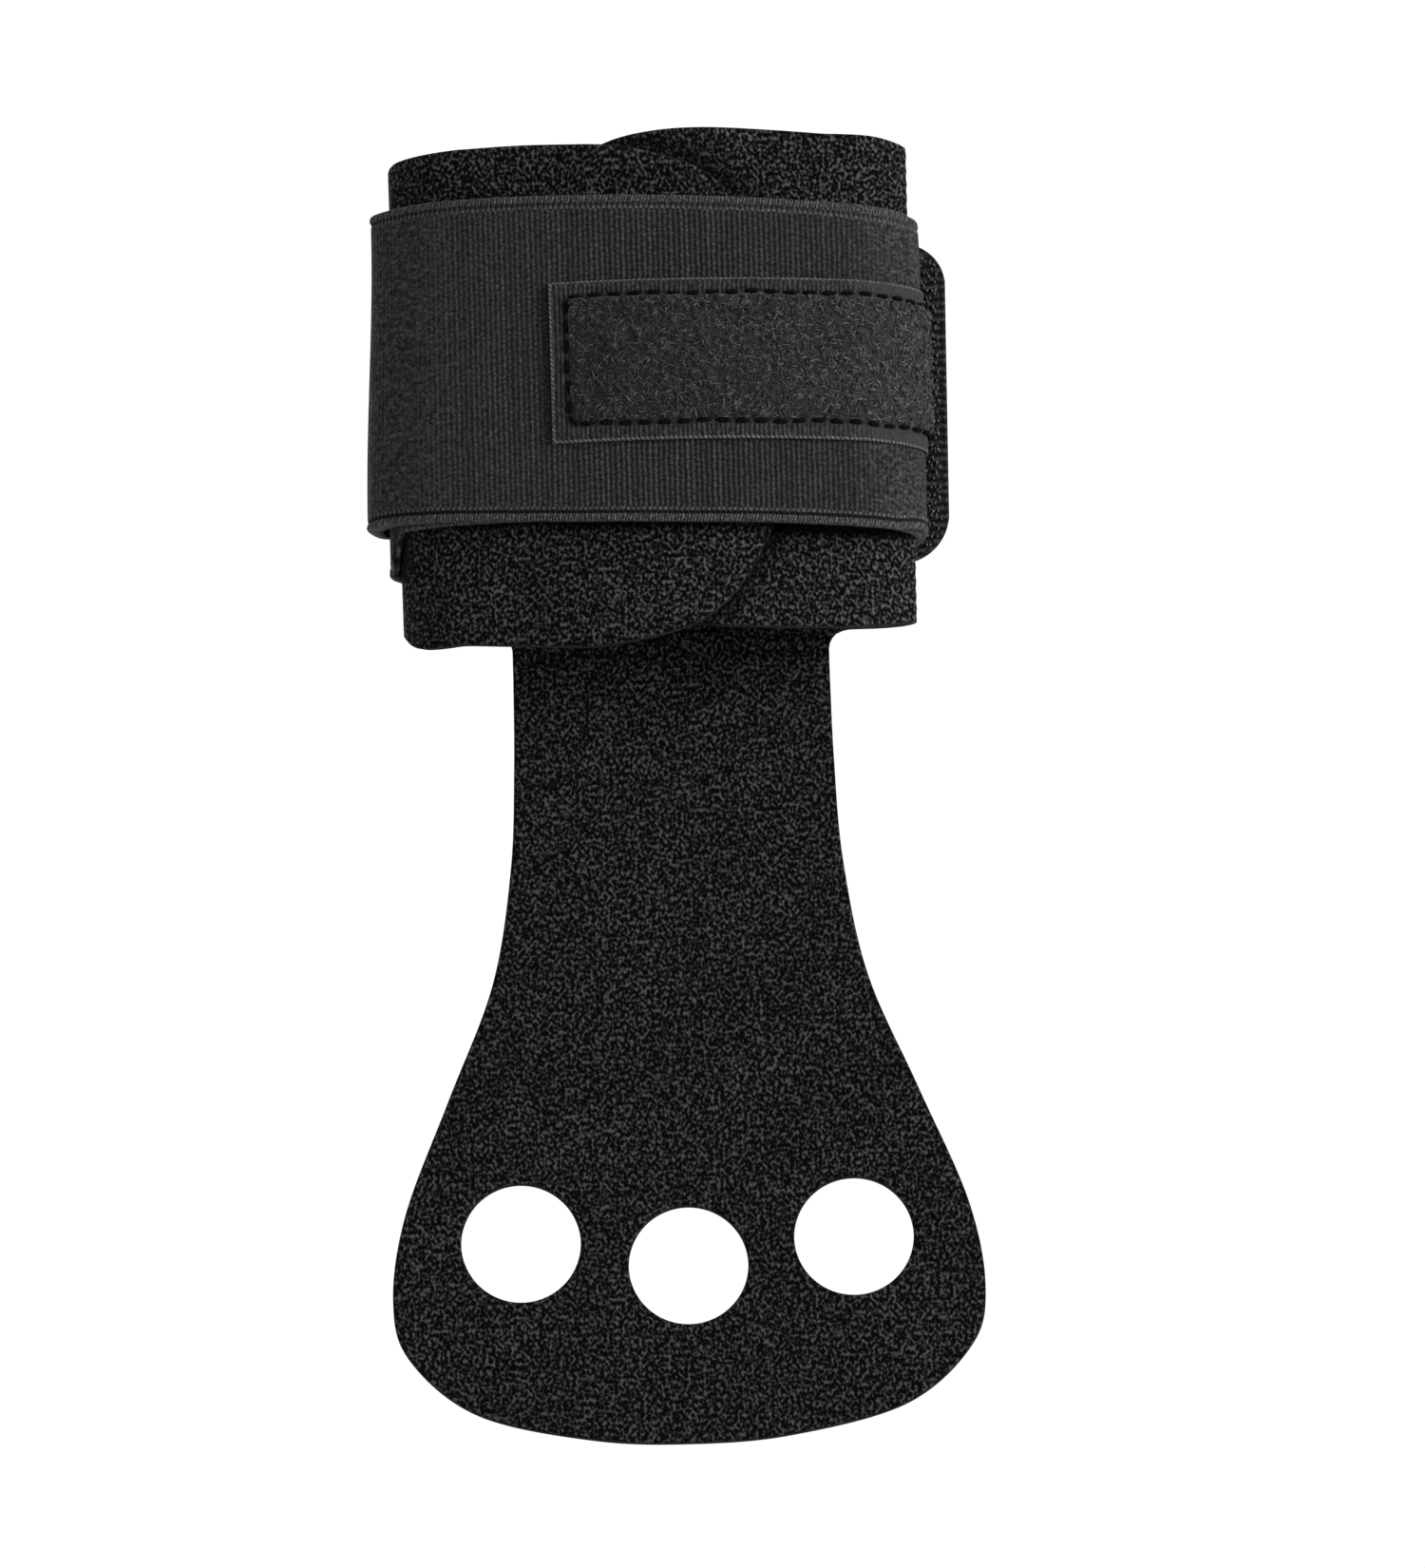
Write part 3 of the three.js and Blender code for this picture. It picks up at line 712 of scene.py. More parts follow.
def sheet_outline():
    """The cut edge of the flat sheet, anticlockwise, in u, its distance right of the back, and z."""
    right_start = sheet_middle - sheet_route.nearest(FOLD_X, RIGHT_WING_Y + BOW)
    left_start = sheet_middle - sheet_route.nearest(-FOLD_X, LEFT_WING_Y + BOW)

    def unrolled(hem, side):
        start = right_start if side > 0 else -left_start
        return [(side * np.interp(t, (0, 1, 2), (0, FOLD_X, start)), z) for t, z in hem]

    right_wing = [(right_start + along_front(x, FOLD_X), z) for x, z in RIGHT_WING]
    left_wing = [(left_start - along_front(-FOLD_X, x), z) for x, z in LEFT_WING]
    fillet = TONGUE_SIDE[0][0] + TONGUE_FILLET
    tongue = spline([(-x, z) for x, z in TONGUE_SIDE] + [(0, finger_low[2])] + TONGUE_SIDE[::-1])
    tongue[:, 0] += TONGUE_X
    left_z, right_z = LEFT_LOW[-1][1] - TONGUE_FILLET, RIGHT_LOW[0][1] - TONGUE_FILLET
    hem = [
        *unrolled(RIGHT_LOW, 1), *right_wing, *unrolled(RIGHT_HIGH, 1),
        *unrolled(LEFT_HIGH, -1)[1:], *left_wing, *unrolled(LEFT_LOW, -1),
    ]
    return np.concatenate([
        arc((TONGUE_X - fillet, left_z), TONGUE_FILLET, 90, 0),
        tongue,
        arc((TONGUE_X + fillet, right_z), TONGUE_FILLET, 180, 90),
        spline(hem)[1:],
    ])


def inside(points, loop):
    """Which points lie inside the closed loop."""
    x, z = points[:, :1], points[:, 1:]
    a, b = loop, np.roll(loop, -1, axis=0)
    crosses = (a[:, 1] > z) != (b[:, 1] > z)
    with np.errstate(divide="ignore", invalid="ignore"):
        at = a[:, 0] + (z - a[:, 1]) * (b[:, 0] - a[:, 0]) / (b[:, 1] - a[:, 1])
    return (crosses & (x < at)).sum(axis=1) % 2 == 1


def ring_normals(loop):
    """Into the cloth from a loop that keeps the cloth on its left."""
    along = np.roll(loop, -1, axis=0) - np.roll(loop, 1, axis=0)
    along /= np.linalg.norm(along, axis=1)[:, None]
    return np.stack([-along[:, 1], along[:, 0]], axis=1)


def thick_cut(loops, thickness, step, edge_round):
    """Cloth cut to the loops, as flat points (u, z, through) and faces.

    The first loop is the outside, anticlockwise, and the rest are holes, clockwise. The cut edge
    is rounded over. The front face's points come first, and the back's follow in the same order.
    """
    turns = np.linspace(0, math.pi / 2, 4)
    insets = edge_round * (1 - np.cos(turns))
    lifts = thickness / 2 - edge_round + edge_round * np.sin(turns)
    rings = [[loop + ring_normals(loop) * inset for inset in insets] for loop in loops]
    borders = [ring[-1] for ring in rings]
    tree = KDTree(sum(len(b) for b in borders))
    for i, point in enumerate(np.concatenate(borders)):
        tree.insert((*point, 0), i)
    tree.balance()
    low, high = loops[0].min(axis=0), loops[0].max(axis=0)
    grid = []
    for row, z in enumerate(np.arange(low[1], high[1], step * 0.866)):
        u = np.arange(low[0] + (row % 2) * step / 2, high[0], step)
        grid.append(np.stack([u, np.full_like(u, z)], axis=1))
    grid = np.concatenate(grid)
    keep = inside(grid, borders[0])
    for hole in borders[1:]:
        keep &= ~inside(grid, hole)
    grid = grid[keep]
    grid = grid[[tree.find((*p, 0))[2] > 0.55 * step for p in grid]]

    flat, walls, borders_at = [], [], []
    index = 0
    for ring in rings:
        count = len(ring[0])
        for loop, lift in zip(ring, lifts):
            flat.append(np.column_stack([loop, np.full(count, lift)]))
        here = np.arange(count)
        there = (here + 1) % count
        for k in range(len(ring) - 1):
            a, b = index + k * count, index + (k + 1) * count
            walls.append(np.stack([a + here, a + there, b + there, b + here], axis=1))
        borders_at.append((index, count))
        index += count * len(ring)
    flat.append(np.column_stack([grid, np.full(len(grid), thickness / 2)]))
    flat = np.concatenate(flat)
    half = len(flat)
    used, edges = [], []
    for start, count in borders_at:
        base = len(used)
        used += range(start + count * (len(insets) - 1), start + count * len(insets))
        edges += [(base + i, base + (i + 1) % count) for i in range(count)]
    used += range(index, half)
    used = np.array(used)
    spread = [Vector(p) for p in flat[used, :2].tolist()]
    _, _, triangles, origins, _, _ = delaunay_2d_cdt(spread, edges, [], 1, 1e-7)
    origin = [group[0] for group in origins]
    middle = used[np.array([[origin[i] for i in face] for face in triangles])]
    centre = flat[middle, :2].mean(axis=1)
    for hole in borders[1:]:
        middle = middle[~inside(centre, hole)]
        centre = flat[middle, :2].mean(axis=1)
    front_faces = [*np.concatenate(walls).tolist(), *middle.tolist()]
    back_faces = [[i + half for i in face[::-1]] for face in front_faces]
    rim = []
    for start, count in borders_at:
        for i in range(count):
            a, b = start + i, start + (i + 1) % count
            rim.append([a, a + half, b + half, b])
    return np.concatenate([flat, flat * (1, 1, -1)]), front_faces + back_faces + rim


def part_of(flat, faces, chosen):
    """The chosen faces as a closed piece: its points, its faces and its area laid flat.

    The later half of the points are the back face's, in the front face's order, so a wall between
    the two faces closes the piece where it was split from the next.
    """
    half = len(flat) // 2
    kept = [face for face, is_chosen in zip(faces, chosen) if is_chosen]
    sides = {(a, b) for face in kept for a, b in zip(face, face[1:] + face[:1])}
    walls = [[b, a, a + half, b + half] for a, b in sides if (b, a) not in sides and max(a, b) < half]
    used = np.unique([i for face in kept for i in face])
    new = np.zeros(len(flat), int)
    new[used] = np.arange(len(used))
    area = 0
    for face in kept:
        if max(face) < half:
            u, z = flat[face, 0], flat[face, 1]
            area += abs(np.dot(u, np.roll(z, -1)) - np.dot(z, np.roll(u, -1))) / 2
    return used, [[int(new[i]) for i in face] for face in kept + walls], area


def sheet_relief(u, z):
    """How far the cloth lies off its even line: it relaxes a little towards its free edges."""
    away = smooth((-z - 98) / 25) * smooth((z + 175) / 25)
    wave = 0.5 * np.sin(u / 19 + 0.6) * np.sin(z / 23) + 0.3 * np.sin(u / 11 - z / 17)
    lean = 0.008 * z * hill((u + FOLD_MIDDLE) / 14) + (0.2 + 0.007 * z) * hill((u - FOLD_MIDDLE) / 14)
    return 0.35 * away * wave + lean * (z > WINGS_BOTTOM)


def from_line(points, line):
    """Each point's distance from the nearest point of a line."""
    return np.min([np.hypot(*(points - place).T) for place in line], axis=0)


# How much light the sheet loses beside what lies over it.
WING_SHADE = 0.78  # on the right wing, at the left one's edge
WING_SHADE_LOW, WING_SHADE_HIGH = 2.0, 3.8  # how far from it, below the middle and above
STRAP_SHADE = 0.95  # at the strap
STRAP_SHADE_LOW, STRAP_SHADE_HIGH = 0.32, 0.3  # how far from it, below and above
UNDER_WING_SHADE = (0.25, 0.8)  # how much further on the right wing, everywhere and by the left one
LEFT_CORNER_X = -39.0  # as far right as this, beside the inner turn's low corner
LEFT_CORNER_Z = (-31.3, -20)  # and from and up to this height
LEFT_CORNER_SHADE, LEFT_CORNER_REACH = 0.92, 0.8
TONGUE_LIGHT, CUFF_LIGHT, RIGHT_LIGHT = 0.88, 1.04, 0.14  # of each part, and more at the right


def sheet_shade(flat, points, wing_edge):
    """How much of its light each point of the sheet keeps."""
    u, z, through = flat.T
    x = points[:, 0]
    in_front = points[:, 1] < FOLD_Y
    under = (u > sheet_route.nearest(FOLD_X, BACK_Y) - sheet_middle) & (through > 0)
    to_wing = from_line(points[:, [0, 2]], wing_edge)
    shade = 1 - WING_SHADE * hill(to_wing / np.where(z > 0, WING_SHADE_HIGH, WING_SHADE_LOW)) * under
    strap_low, strap_high = strap_edges_at(x)
    everywhere, beside_wing = UNDER_WING_SHADE
    wide = STRAP_SHADE_LOW + under * (everywhere + beside_wing * hill(to_wing / 4.0))
    for away, reach in ((strap_low - z, wide), (z - strap_high, STRAP_SHADE_HIGH)):
        near = in_front & (away > -3)
        shade *= 1 - STRAP_SHADE * hill(np.clip(away - 0.25 * reach, 0, None) / reach) * near
    in_corner = in_front & (z > LEFT_CORNER_Z[0]) & (z < LEFT_CORNER_Z[1])
    from_corner = np.clip(x - LEFT_CORNER_X, 0, None) / LEFT_CORNER_REACH
    shade *= 1 - LEFT_CORNER_SHADE * hill(from_corner) * in_corner
    on_cuff = CUFF_LIGHT + RIGHT_LIGHT * smooth((x - 4) / 12) * in_front
    return shade * np.where(z < WINGS_BOTTOM, TONGUE_LIGHT, on_cuff)


def make_sheet():
    outline = evenly(sheet_outline(), OUTLINE_STEP)
    circles = [arc((TONGUE_X + x, z), HOLE_RADIUS, 360, 0, 97)[:-1] for x, z in HOLES]
    loops = [outline, *(evenly(circle, HOLE_STEP) for circle in circles)]
    flat, faces = thick_cut(loops, SHEET, SHEET_STEP, EDGE_ROUND)
    u, z, through = flat.T
    wing_start = sheet_route.nearest(-FOLD_X, LEFT_WING_Y + BOW) - sheet_middle
    tip = outline[outline[:, 0] < -wing_start - FOLD_X * 0.8]
    free = hill(from_line(flat[:, :2], tip) / WING_LIFT_REACH) * (u < -wing_start)
    lift = through + sheet_relief(u, z) + WING_LIFT * free * smooth((np.abs(z) - 25.5) / 5)
    points = sheet_route.place(sheet_middle - u, z, lift)
    tongue = (z < WINGS_BOTTOM) | (np.abs(u - TONGUE_X) < TONGUE_FLAT)
    points[tongue] = np.stack([u, BACK_Y + lift, z], axis=1)[tongue]
    wing_edge = sheet_route.place(sheet_middle - tip[:, 0], tip[:, 1], 0.0)[:, [0, 2]]
    shade = sheet_shade(flat, points, wing_edge)
    centre = np.array([flat[face].mean(axis=0) for face in faces])
    on_tongue = (centre[:, 1] < WINGS_BOTTOM) | (np.abs(centre[:, 0] - TONGUE_X) < TONGUE_BAND)
    cuff = ~on_tongue | (centre[:, 1] > CUFF_SPLIT_Z)
    palm = ~cuff & (centre[:, 1] > PALM_SPLIT_Z)
    pieces = []
    for name, chosen in (("sheet_cuff", cuff), ("sheet_palm", palm), ("sheet_fingers", ~cuff & ~palm)):
        used, kept, area = part_of(flat, faces, chosen)
        piece = build(name, points[used], kept, flat[used], [microfibre])
        add_shade(piece, shade[used])
        pieces.append((piece, area))
    return pieces


# ---------------------------------------------------------------- the elastic strap

STRAP_HALF = 0.5  # half its thickness; the frame's strap is a little thicker
PRESSED = 0.5  # each turn lies this much closer on the right fold, where the strap is pulled tight
STRAP_START_X = -24.0
RIGHT_DROP = 1.75  # how far the top turn hangs at the right fold
LEFT_RISE = 1.15  # and stands at the left one
BACK_DROP = 5.2  # how far the inner turn hangs at the back

outer_reach = INNER_REACH + PITCH
outer_back_y = INNER_BACK_Y + PITCH
outer_front_y = INNER_FRONT_Y - PITCH
tail_y = (tail_low[1] + tail_high[1]) / 2
strap_route = Route(
    [
        straight(STRAP_START_X, FOLD_X, INNER_BACK_Y),
        fold(1, INNER_REACH - PRESSED, INNER_BACK_Y, INNER_FRONT_Y),
        front(FOLD_X, -FOLD_X, INNER_FRONT_Y),
        fold(-1, INNER_REACH, INNER_FRONT_Y, outer_back_y),
        straight(-FOLD_X, FOLD_X, outer_back_y),
        fold(1, outer_reach - 2 * PRESSED, outer_back_y, outer_front_y),
        front(FOLD_X, -FOLD_X, outer_front_y),
        fold(-1, outer_reach, outer_front_y, tail_y),
        straight(-FOLD_X, tail_high[0], tail_y),
    ],
    1,
)
inner_right = strap_route.nearest(FOLD_X + INNER_REACH - PRESSED, FOLD_Y)
inner_left = strap_route.nearest(-FOLD_X - INNER_REACH, FOLD_Y)
outer_right = strap_route.nearest(FOLD_X + outer_reach - 2 * PRESSED, FOLD_Y)
outer_left = strap_route.nearest(-FOLD_X - outer_reach, FOLD_Y)


def strap_drop(s):
    """How far the strap hangs below the middle of the wrist opening.

    Both turns slant down to the right. The inner one hangs lower at the back, and steps down to
    there on the left fold.
    """
    marks = [
        (0, BACK_DROP),
        (inner_right, RIGHT_DROP - 0.5),
        (inner_left - 4.2, -LEFT_RISE),
        (inner_left - 2.8, 1.5),
        (inner_left - 1.4, BACK_DROP - 0.8),
        (inner_left, BACK_DROP),
        (inner_left + 45, BACK_DROP - 0.5),
        (outer_right, RIGHT_DROP),
        (outer_left, -LEFT_RISE),
        (outer_left + 4.6, -LEFT_RISE - 0.5),
        (outer_left + 9, -2.9),
        (outer_left + 13, -2.9),
        (outer_left + 26, 0.0),
        (strap_route.length, -(tail_low[2] + tail_high[2]) / 2),
    ]
    return np.interp(s, *zip(*marks))


# How much further the top turn spreads in front than its tape's width, at places across: its
# middle is slack and spreads, and the folds stretch it narrower.
SPREAD_LOW = [
    (-41, -0.95), (-33, -0.5), (-26, -0.2), (-12, 0.28), (-4, 0.35), (5, 0.4), (17, 0.2),
    (32, 0.1), (37, -0.15), (41, -1.15),
]
SPREAD_HIGH = [
    (-41, 0.1), (-34, 0.38), (-24, 0.47), (-12, 0.41), (0, 0.35), (17, 0.22), (25, 0.08),
    (32, -0.2), (41, -0.27),
]


def strap_spread(s, table):
    """Across the front of the top turn, and gone a little way round each fold."""
    x = np.interp(s, strap_route.s, strap_route.points[:, 0])
    in_front = smooth((s - outer_right + 8) / 8) * smooth((outer_left + 8 - s) / 8)
    return np.interp(x, *zip(*table)) * in_front


def strap_edges(s):
    middle = -strap_drop(s)
    low = middle - STRAP_HEIGHT / 2 - strap_spread(s, SPREAD_LOW)
    return low, middle + STRAP_HEIGHT / 2 + strap_spread(s, SPREAD_HIGH)


def strap_edges_at(x):
    """The top turn's edges in front, at places across."""
    in_front = (strap_route.s >= outer_right) & (strap_route.s <= outer_left)
    return strap_edges(np.interp(-x, -strap_route.points[in_front, 0], strap_route.s[in_front]))


def strap_relief(s, z, inset):
    """Ribs across the strap, a thicker selvage along each edge and a stitched line beside it."""
    ribs = np.cos(2 * math.pi * s / RIB_PITCH)
    selvage = smooth((SELVAGE - inset) / 0.3)
    line = hill((inset - SELVAGE - 0.25) / 0.26)
    return 0.05 * ribs + selvage * (0.12 + 0.05 * ribs) - line * (0.16 - 0.06 * ribs)


def strap_flare(s, z):
    """The top turn stands off the cuff at the left fold, more so at its lower edge."""
    return hill((s - outer_left) / 15.0) * (0.15 + 1.7 * smooth((24 - z) / 46))


def strap_tuck(s, z):
    """Each turn leans in on the right fold at its top edge, where only the cuff is under it."""
    near = sum(hill((s - fold_at) / 8.0) for fold_at in (inner_right, outer_right))
    return -0.75 * near * smooth((z - 20.5) / 6.0)


# How light the low corner of the inner turn is at places across, beyond the cuff's left fold: painted
# shade, and painted highlight where above 1.
CORNER_SHADE = [(-40.9, 1.0), (-40.7, 0.1), (-40.25, 0.1), (-40.1, 1.3), (-39.75, 1.3), (-39.6, 0.1)]
CORNER_TOP = -24.6
LOOP_SHADE = 0.1  # how light the strap is inside the loop that stands off the left fold


def strap_shade(s, faces_in, points):
    """1 in the open, painted shade in the left fold's loop, and painted shade and highlight at the low
    corner beside it.
    """
    x, y, z = points.T
    in_loop = faces_in & (s > outer_left - 6) & (x < -FOLD_X - 2)
    low_corner = (s < inner_left + 12) & (faces_in | (y < FOLD_Y)) & (z < CORNER_TOP) & (x < -FOLD_X)
    shade = np.where(low_corner, np.interp(x, *zip(*CORNER_SHADE)), 1.0)
    return np.where(in_loop, LOOP_SHADE, shade)


STRAP_ROWS = [0, 0.1, 0.3, 0.6, 1.0, 1.25, 1.42, 1.6, 1.8, 2.1]  # the finer ones, from its edges


def make_strap(name, start, end, cut, flared):
    s = end_columns(start, end, RIB_PITCH / 4)
    rows = edge_rows(STRAP_HEIGHT, STRAP_ROWS, 2.2)
    low, high = strap_edges(s)

    def stand_off(s, z):
        return strap_tuck(s, z) + (strap_flare(s, z) if flared else 0)

    def outer(s, z, inset):
        return strap_relief(s, z, inset) + stand_off(s, z)

    def inner(s, z, inset):
        return strap_relief(s, z, inset) - stand_off(s, z)

    strap = ribbon(
        name, strap_route, s, low, high, rows, STRAP_HALF, outer, inner, [elastic], cut=cut
    )
    around = 2 * len(rows) - 2
    faces_in = np.arange(len(s) * around) % around >= len(rows)
    add_shade(strap, strap_shade(np.repeat(s, around), faces_in, points_mm(strap)))
    return strap


microfibre = sheet_material()
(sheet_cuff, cuff_area), (sheet_palm, palm_area), (sheet_fingers, finger_area) = make_sheet()
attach(sheet_cuff, "cuff")
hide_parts("wrist_cuff")
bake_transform(sheet_palm)
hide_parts("palm_panel")
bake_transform(sheet_fingers)
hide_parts("finger_panel")

# Where the loop patch will lie on the strap; the elastic gets a painted shadow beside it.
PATCH_TOP = patch_high[2]
PATCH_BOTTOM = PATCH_TOP - PATCH_HEIGHT
PATCH_EDGE_S = strap_route.nearest(patch_low[0], outer_front_y + bow(patch_low[0]))
elastic = elastic_material()
strap_split = inner_left + 60  # on the back, early in the second turn
tail_split = outer_left + 8  # just round the left fold, where the free end begins
inner_turn = make_strap("elastic_inner_turn", 0.0, strap_split, (True, False), False)
outer_turn = make_strap("elastic_outer_turn", strap_split, tail_split, (False, False), True)
free_end = make_strap("elastic_free_end", tail_split, strap_route.length, (False, True), True)
for turn in (inner_turn, outer_turn):
    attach(turn, "cuff")
    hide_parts("elastic_wrap")
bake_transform(free_end)
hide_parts("elastic_tail")


# ---------------------------------------------------------------- threads


def strands(name, paths, radii, sides, materials, across):
    """One mesh of round threads.

    paths holds each thread's points in millimetres, radii the thickness at each point, and across
    one direction for each thread that lies square to it.
    """
    paths = np.asarray(paths, float)
    count, rings = paths.shape[:2]
    along = np.gradient(paths, axis=1)
    along /= np.linalg.norm(along, axis=2, keepdims=True) + 1e-9
    side = np.asarray(across, float)[:, None, :] * np.ones((1, rings, 1))
    side = side - along * (side * along).sum(axis=2, keepdims=True)
    side /= np.linalg.norm(side, axis=2, keepdims=True) + 1e-9
    up = np.cross(side, along)
    turn = 2 * math.pi * np.arange(sides) / sides
    offset = side[:, :, None] * np.cos(turn)[:, None] + up[:, :, None] * np.sin(turn)[:, None]
    points = paths[:, :, None] + offset * np.asarray(radii)[None, :, None, None]
    length = np.linalg.norm(np.diff(paths, axis=1), axis=2).cumsum(axis=1)
    length = np.concatenate([np.zeros((count, 1)), length], axis=1)
    flat = np.zeros(points.shape)
    flat[..., 0] = length[:, :, None] + np.arange(count)[:, None, None] * 7.31
    flat[..., 1] = turn / (2 * math.pi) * 0.8
    ring = np.arange(sides)
    next_ring = (ring + 1) % sides
    quads = []
    for k in range(rings - 1):
        a, b = k * sides, (k + 1) * sides
        quads.append(np.stack([a + ring, a + next_ring, b + next_ring, b + ring], axis=1))
    quads = np.concatenate(quads)
    first = np.arange(count)[:, None, None] * rings * sides
    faces = (quads[None] + first).reshape(-1, 4).tolist()
    caps = np.stack([ring[::-1], (rings - 1) * sides + ring])
    faces += (caps[None] + first).reshape(-1, sides).tolist()
    return build(name, points.reshape(-1, 3), faces, flat.reshape(-1, 3), materials)


def outward(place, s, z):
    """The direction in which place lifts a point there."""
    return place(s, z, 1.0) - place(s, z, 0.0)


def raised(route, by):
    """The route's place, with lifts counted from this much further out."""
    return lambda s, z, lift: route.place(s, z, lift + by)


# How thick a stitch is along its length, as a share of the thickest.
STITCH_TAPER = np.array([0.75, 0.9, 1, 1, 1, 1, 1, 0.9, 0.75])


def stitch_paths(place, starts, ends, rise, sink):
    """Stitches from starts to ends, each (s, z), that come out of one hole and go down the next."""
    rings = len(STITCH_TAPER)
    t = np.linspace(0, 1, rings)[None, :]
    starts, ends = np.asarray(starts, float), np.asarray(ends, float)
    s = starts[:, :1] + (ends[:, :1] - starts[:, :1]) * t
    z = starts[:, 1:] + (ends[:, 1:] - starts[:, 1:]) * t
    lift = rise - (rise + sink) * np.abs(2 * t - 1) ** 5
    paths = place(s, z, lift)
    above = outward(place, s[:, rings // 2], z[:, rings // 2])
    return paths, np.cross(paths[:, -1] - paths[:, 0], above)


def run_of(start, end, pitch, dash):
    """Where the stitches of a straight run start and end; they fill it evenly."""
    start, end = np.array(start, float), np.array(end, float)
    length = np.linalg.norm(end - start)
    count = max(1, round(length / pitch))
    heading = (end - start) / length
    middles = start + heading * ((np.arange(count) + 0.5) * length / count)[:, None]
    return middles - heading * dash / 2, middles + heading * dash / 2


# ---------------------------------------------------------------- the loop patch

PATCH_HALF = 0.35  # half the tape's thickness
PATCH_CLEAR = 0.1  # between it and the strap
GROOVE = 0.36  # half the width of the hollow under the stitches
PATCH_INSETS = (2.75, 2.35, 2.6, 2.4)  # the stitches' from the bottom, the top and the two ends
PATCH_STITCH_PITCH = 3.0
PATCH_STITCH_DASH = 1.85  # how long each one shows
PATCH_THREAD, SEAM_THREAD, ANCHOR_THREAD = 0.33, 0.27, 0.25  # radii
PATCH_END_X = -2.0
patch_reach = outer_reach - 2 * PRESSED + STRAP_HALF + PATCH_HALF + PATCH_CLEAR
patch_front_y = outer_front_y - STRAP_HALF - PATCH_HALF - PATCH_CLEAR
patch_back_y = outer_back_y + STRAP_HALF + PATCH_HALF + PATCH_CLEAR
patch_route = Route(
    [
        front(patch_low[0], FOLD_X, patch_front_y),
        fold(1, patch_reach, patch_front_y, patch_back_y),
        straight(FOLD_X, PATCH_END_X, patch_back_y),
    ],
    -1,
)
patch_fold = patch_route.nearest(FOLD_X + patch_reach, FOLD_Y)


def waver(s):
    """A hand-fed seam wanders a little."""
    return 0.12 * np.sin(s / 2.9) + 0.08 * np.sin(s / 1.3 + 1)


def patch_depths(s, z):
    """A place's distance from the patch's edge, and how far inside its stitches it lies."""
    sides = [z - PATCH_BOTTOM, PATCH_TOP - z, s, patch_route.length - s]
    inside_of = np.min([side - inset for side, inset in zip(sides, PATCH_INSETS)], axis=0)
    return np.min(sides, axis=0), inside_of + waver(s + z)


def patch_share(s, z):
    """0 at the patch's edge and 1 at its stitches; beyond them, 1 more for each millimetre."""
    from_edge, inside_of = patch_depths(s, z)
    from_edge = np.maximum(from_edge, 0)
    return np.where(inside_of < 0, from_edge / np.maximum(from_edge - inside_of, 0.1), 1 + inside_of)


def patch_relief(s, z, inset):
    """A beaded edge, a ribbed border, a groove under the stitches and a raised field of pile."""
    from_edge, inside_of = patch_depths(s, z)
    bead = smooth((0.35 - from_edge) / 0.2)
    ribs = np.cos(2 * math.pi * s / BORDER_PITCH) * smooth((-inside_of - 0.4) / 0.3)
    groove = np.exp(-((inside_of / GROOVE) ** 4))
    field = smooth((inside_of - 0.35) / 0.7)
    pressed = 0.32 * hill((s - patch_fold) / 7.0) * smooth((0.3 - inside_of) / 0.5)
    lumps = np.sin(s * 2.1 + 1.3 * np.sin(z * 1.1)) * np.sin(z * 2.4 + 1.1 * np.sin(s * 0.9))
    return bead * 0.1 + 0.03 * ribs - 0.12 * groove - pressed + field * (0.35 + 0.14 * lumps)


def patch_slot(middle, outside):
    """The pile's material on the raised field, the border's elsewhere."""
    return ((middle[:, 2] > 1.2) & outside).astype(int)


PILE_PAINTED_LIGHT = [(-14, 0.8), (6, 0.98), (36, 1.35)]  # painted light at places across: darker at the left, brighter to the right
PILE_CLUMP = 13  # how many fibres curl together
FIBRE_RADII = [0.07, 0.085, 0.095, 0.085, 0.06]
FRONT_FIBRES, BACK_FIBRES = 7500, 2000


def pile_paths(rng, count, start, end):
    """Loops of loose fibre over the raised field: up from the tape, over and back down."""
    t = np.linspace(0, 1, len(FIBRE_RADII))[None, :]
    clumps = round(count / PILE_CLUMP)
    clump = rng.integers(0, clumps, (count, 1))
    loose_end = rng.uniform(size=(count, 1)) < 0.25
    s0 = rng.uniform(start, end, (clumps, 1))[clump[:, 0]] + rng.normal(0, 0.32, (count, 1))
    s0 = np.where(loose_end, rng.uniform(start, end, (count, 1)), s0)
    low, high = PATCH_BOTTOM + PATCH_INSETS[0] + 0.5, PATCH_TOP - PATCH_INSETS[1] - 0.5
    z0 = rng.uniform(low, high, (clumps, 1))[clump[:, 0]] + rng.normal(0, 0.32, (count, 1))
    z0 = np.where(loose_end, rng.uniform(low, high, (count, 1)), z0)
    turn = rng.uniform(0, 2 * math.pi, (count, 1))
    long = rng.uniform(0.5, 2.0, (count, 1))
    curl = rng.uniform(-0.5, 0.5, (count, 1))
    rise = rng.uniform(0.15, 0.75, (count, 1)) * rng.uniform(0.5, 1, (count, 1))
    ahead = long * (t - 0.5)
    aside = curl * np.sin(2 * math.pi * t) + 0.3 * curl * np.cos(math.pi * t)
    s = s0 + ahead * np.cos(turn) - aside * np.sin(turn)
    z = z0 + ahead * np.sin(turn) + aside * np.cos(turn)
    s = np.clip(s, start, end)
    z = np.clip(z, low, high)
    lift = PATCH_HALF + 0.2 + rise * np.sin(math.pi * (0.12 + 0.8 * t))
    paths = patch_route.place(s, z, lift)
    upward = outward(patch_route.place, s[:, 2], z[:, 2])
    return paths, np.cross(paths[:, -1] - paths[:, 0], upward)


# How far from the tape's edge its mesh's finer rows are.
PATCH_ROWS = [0, 0.1, 0.25, 0.4, 0.55, 0.8, 1.2, 1.6, 1.8, 2.0, 2.2, 2.4, 2.6, 2.8, 3.0, 3.25]


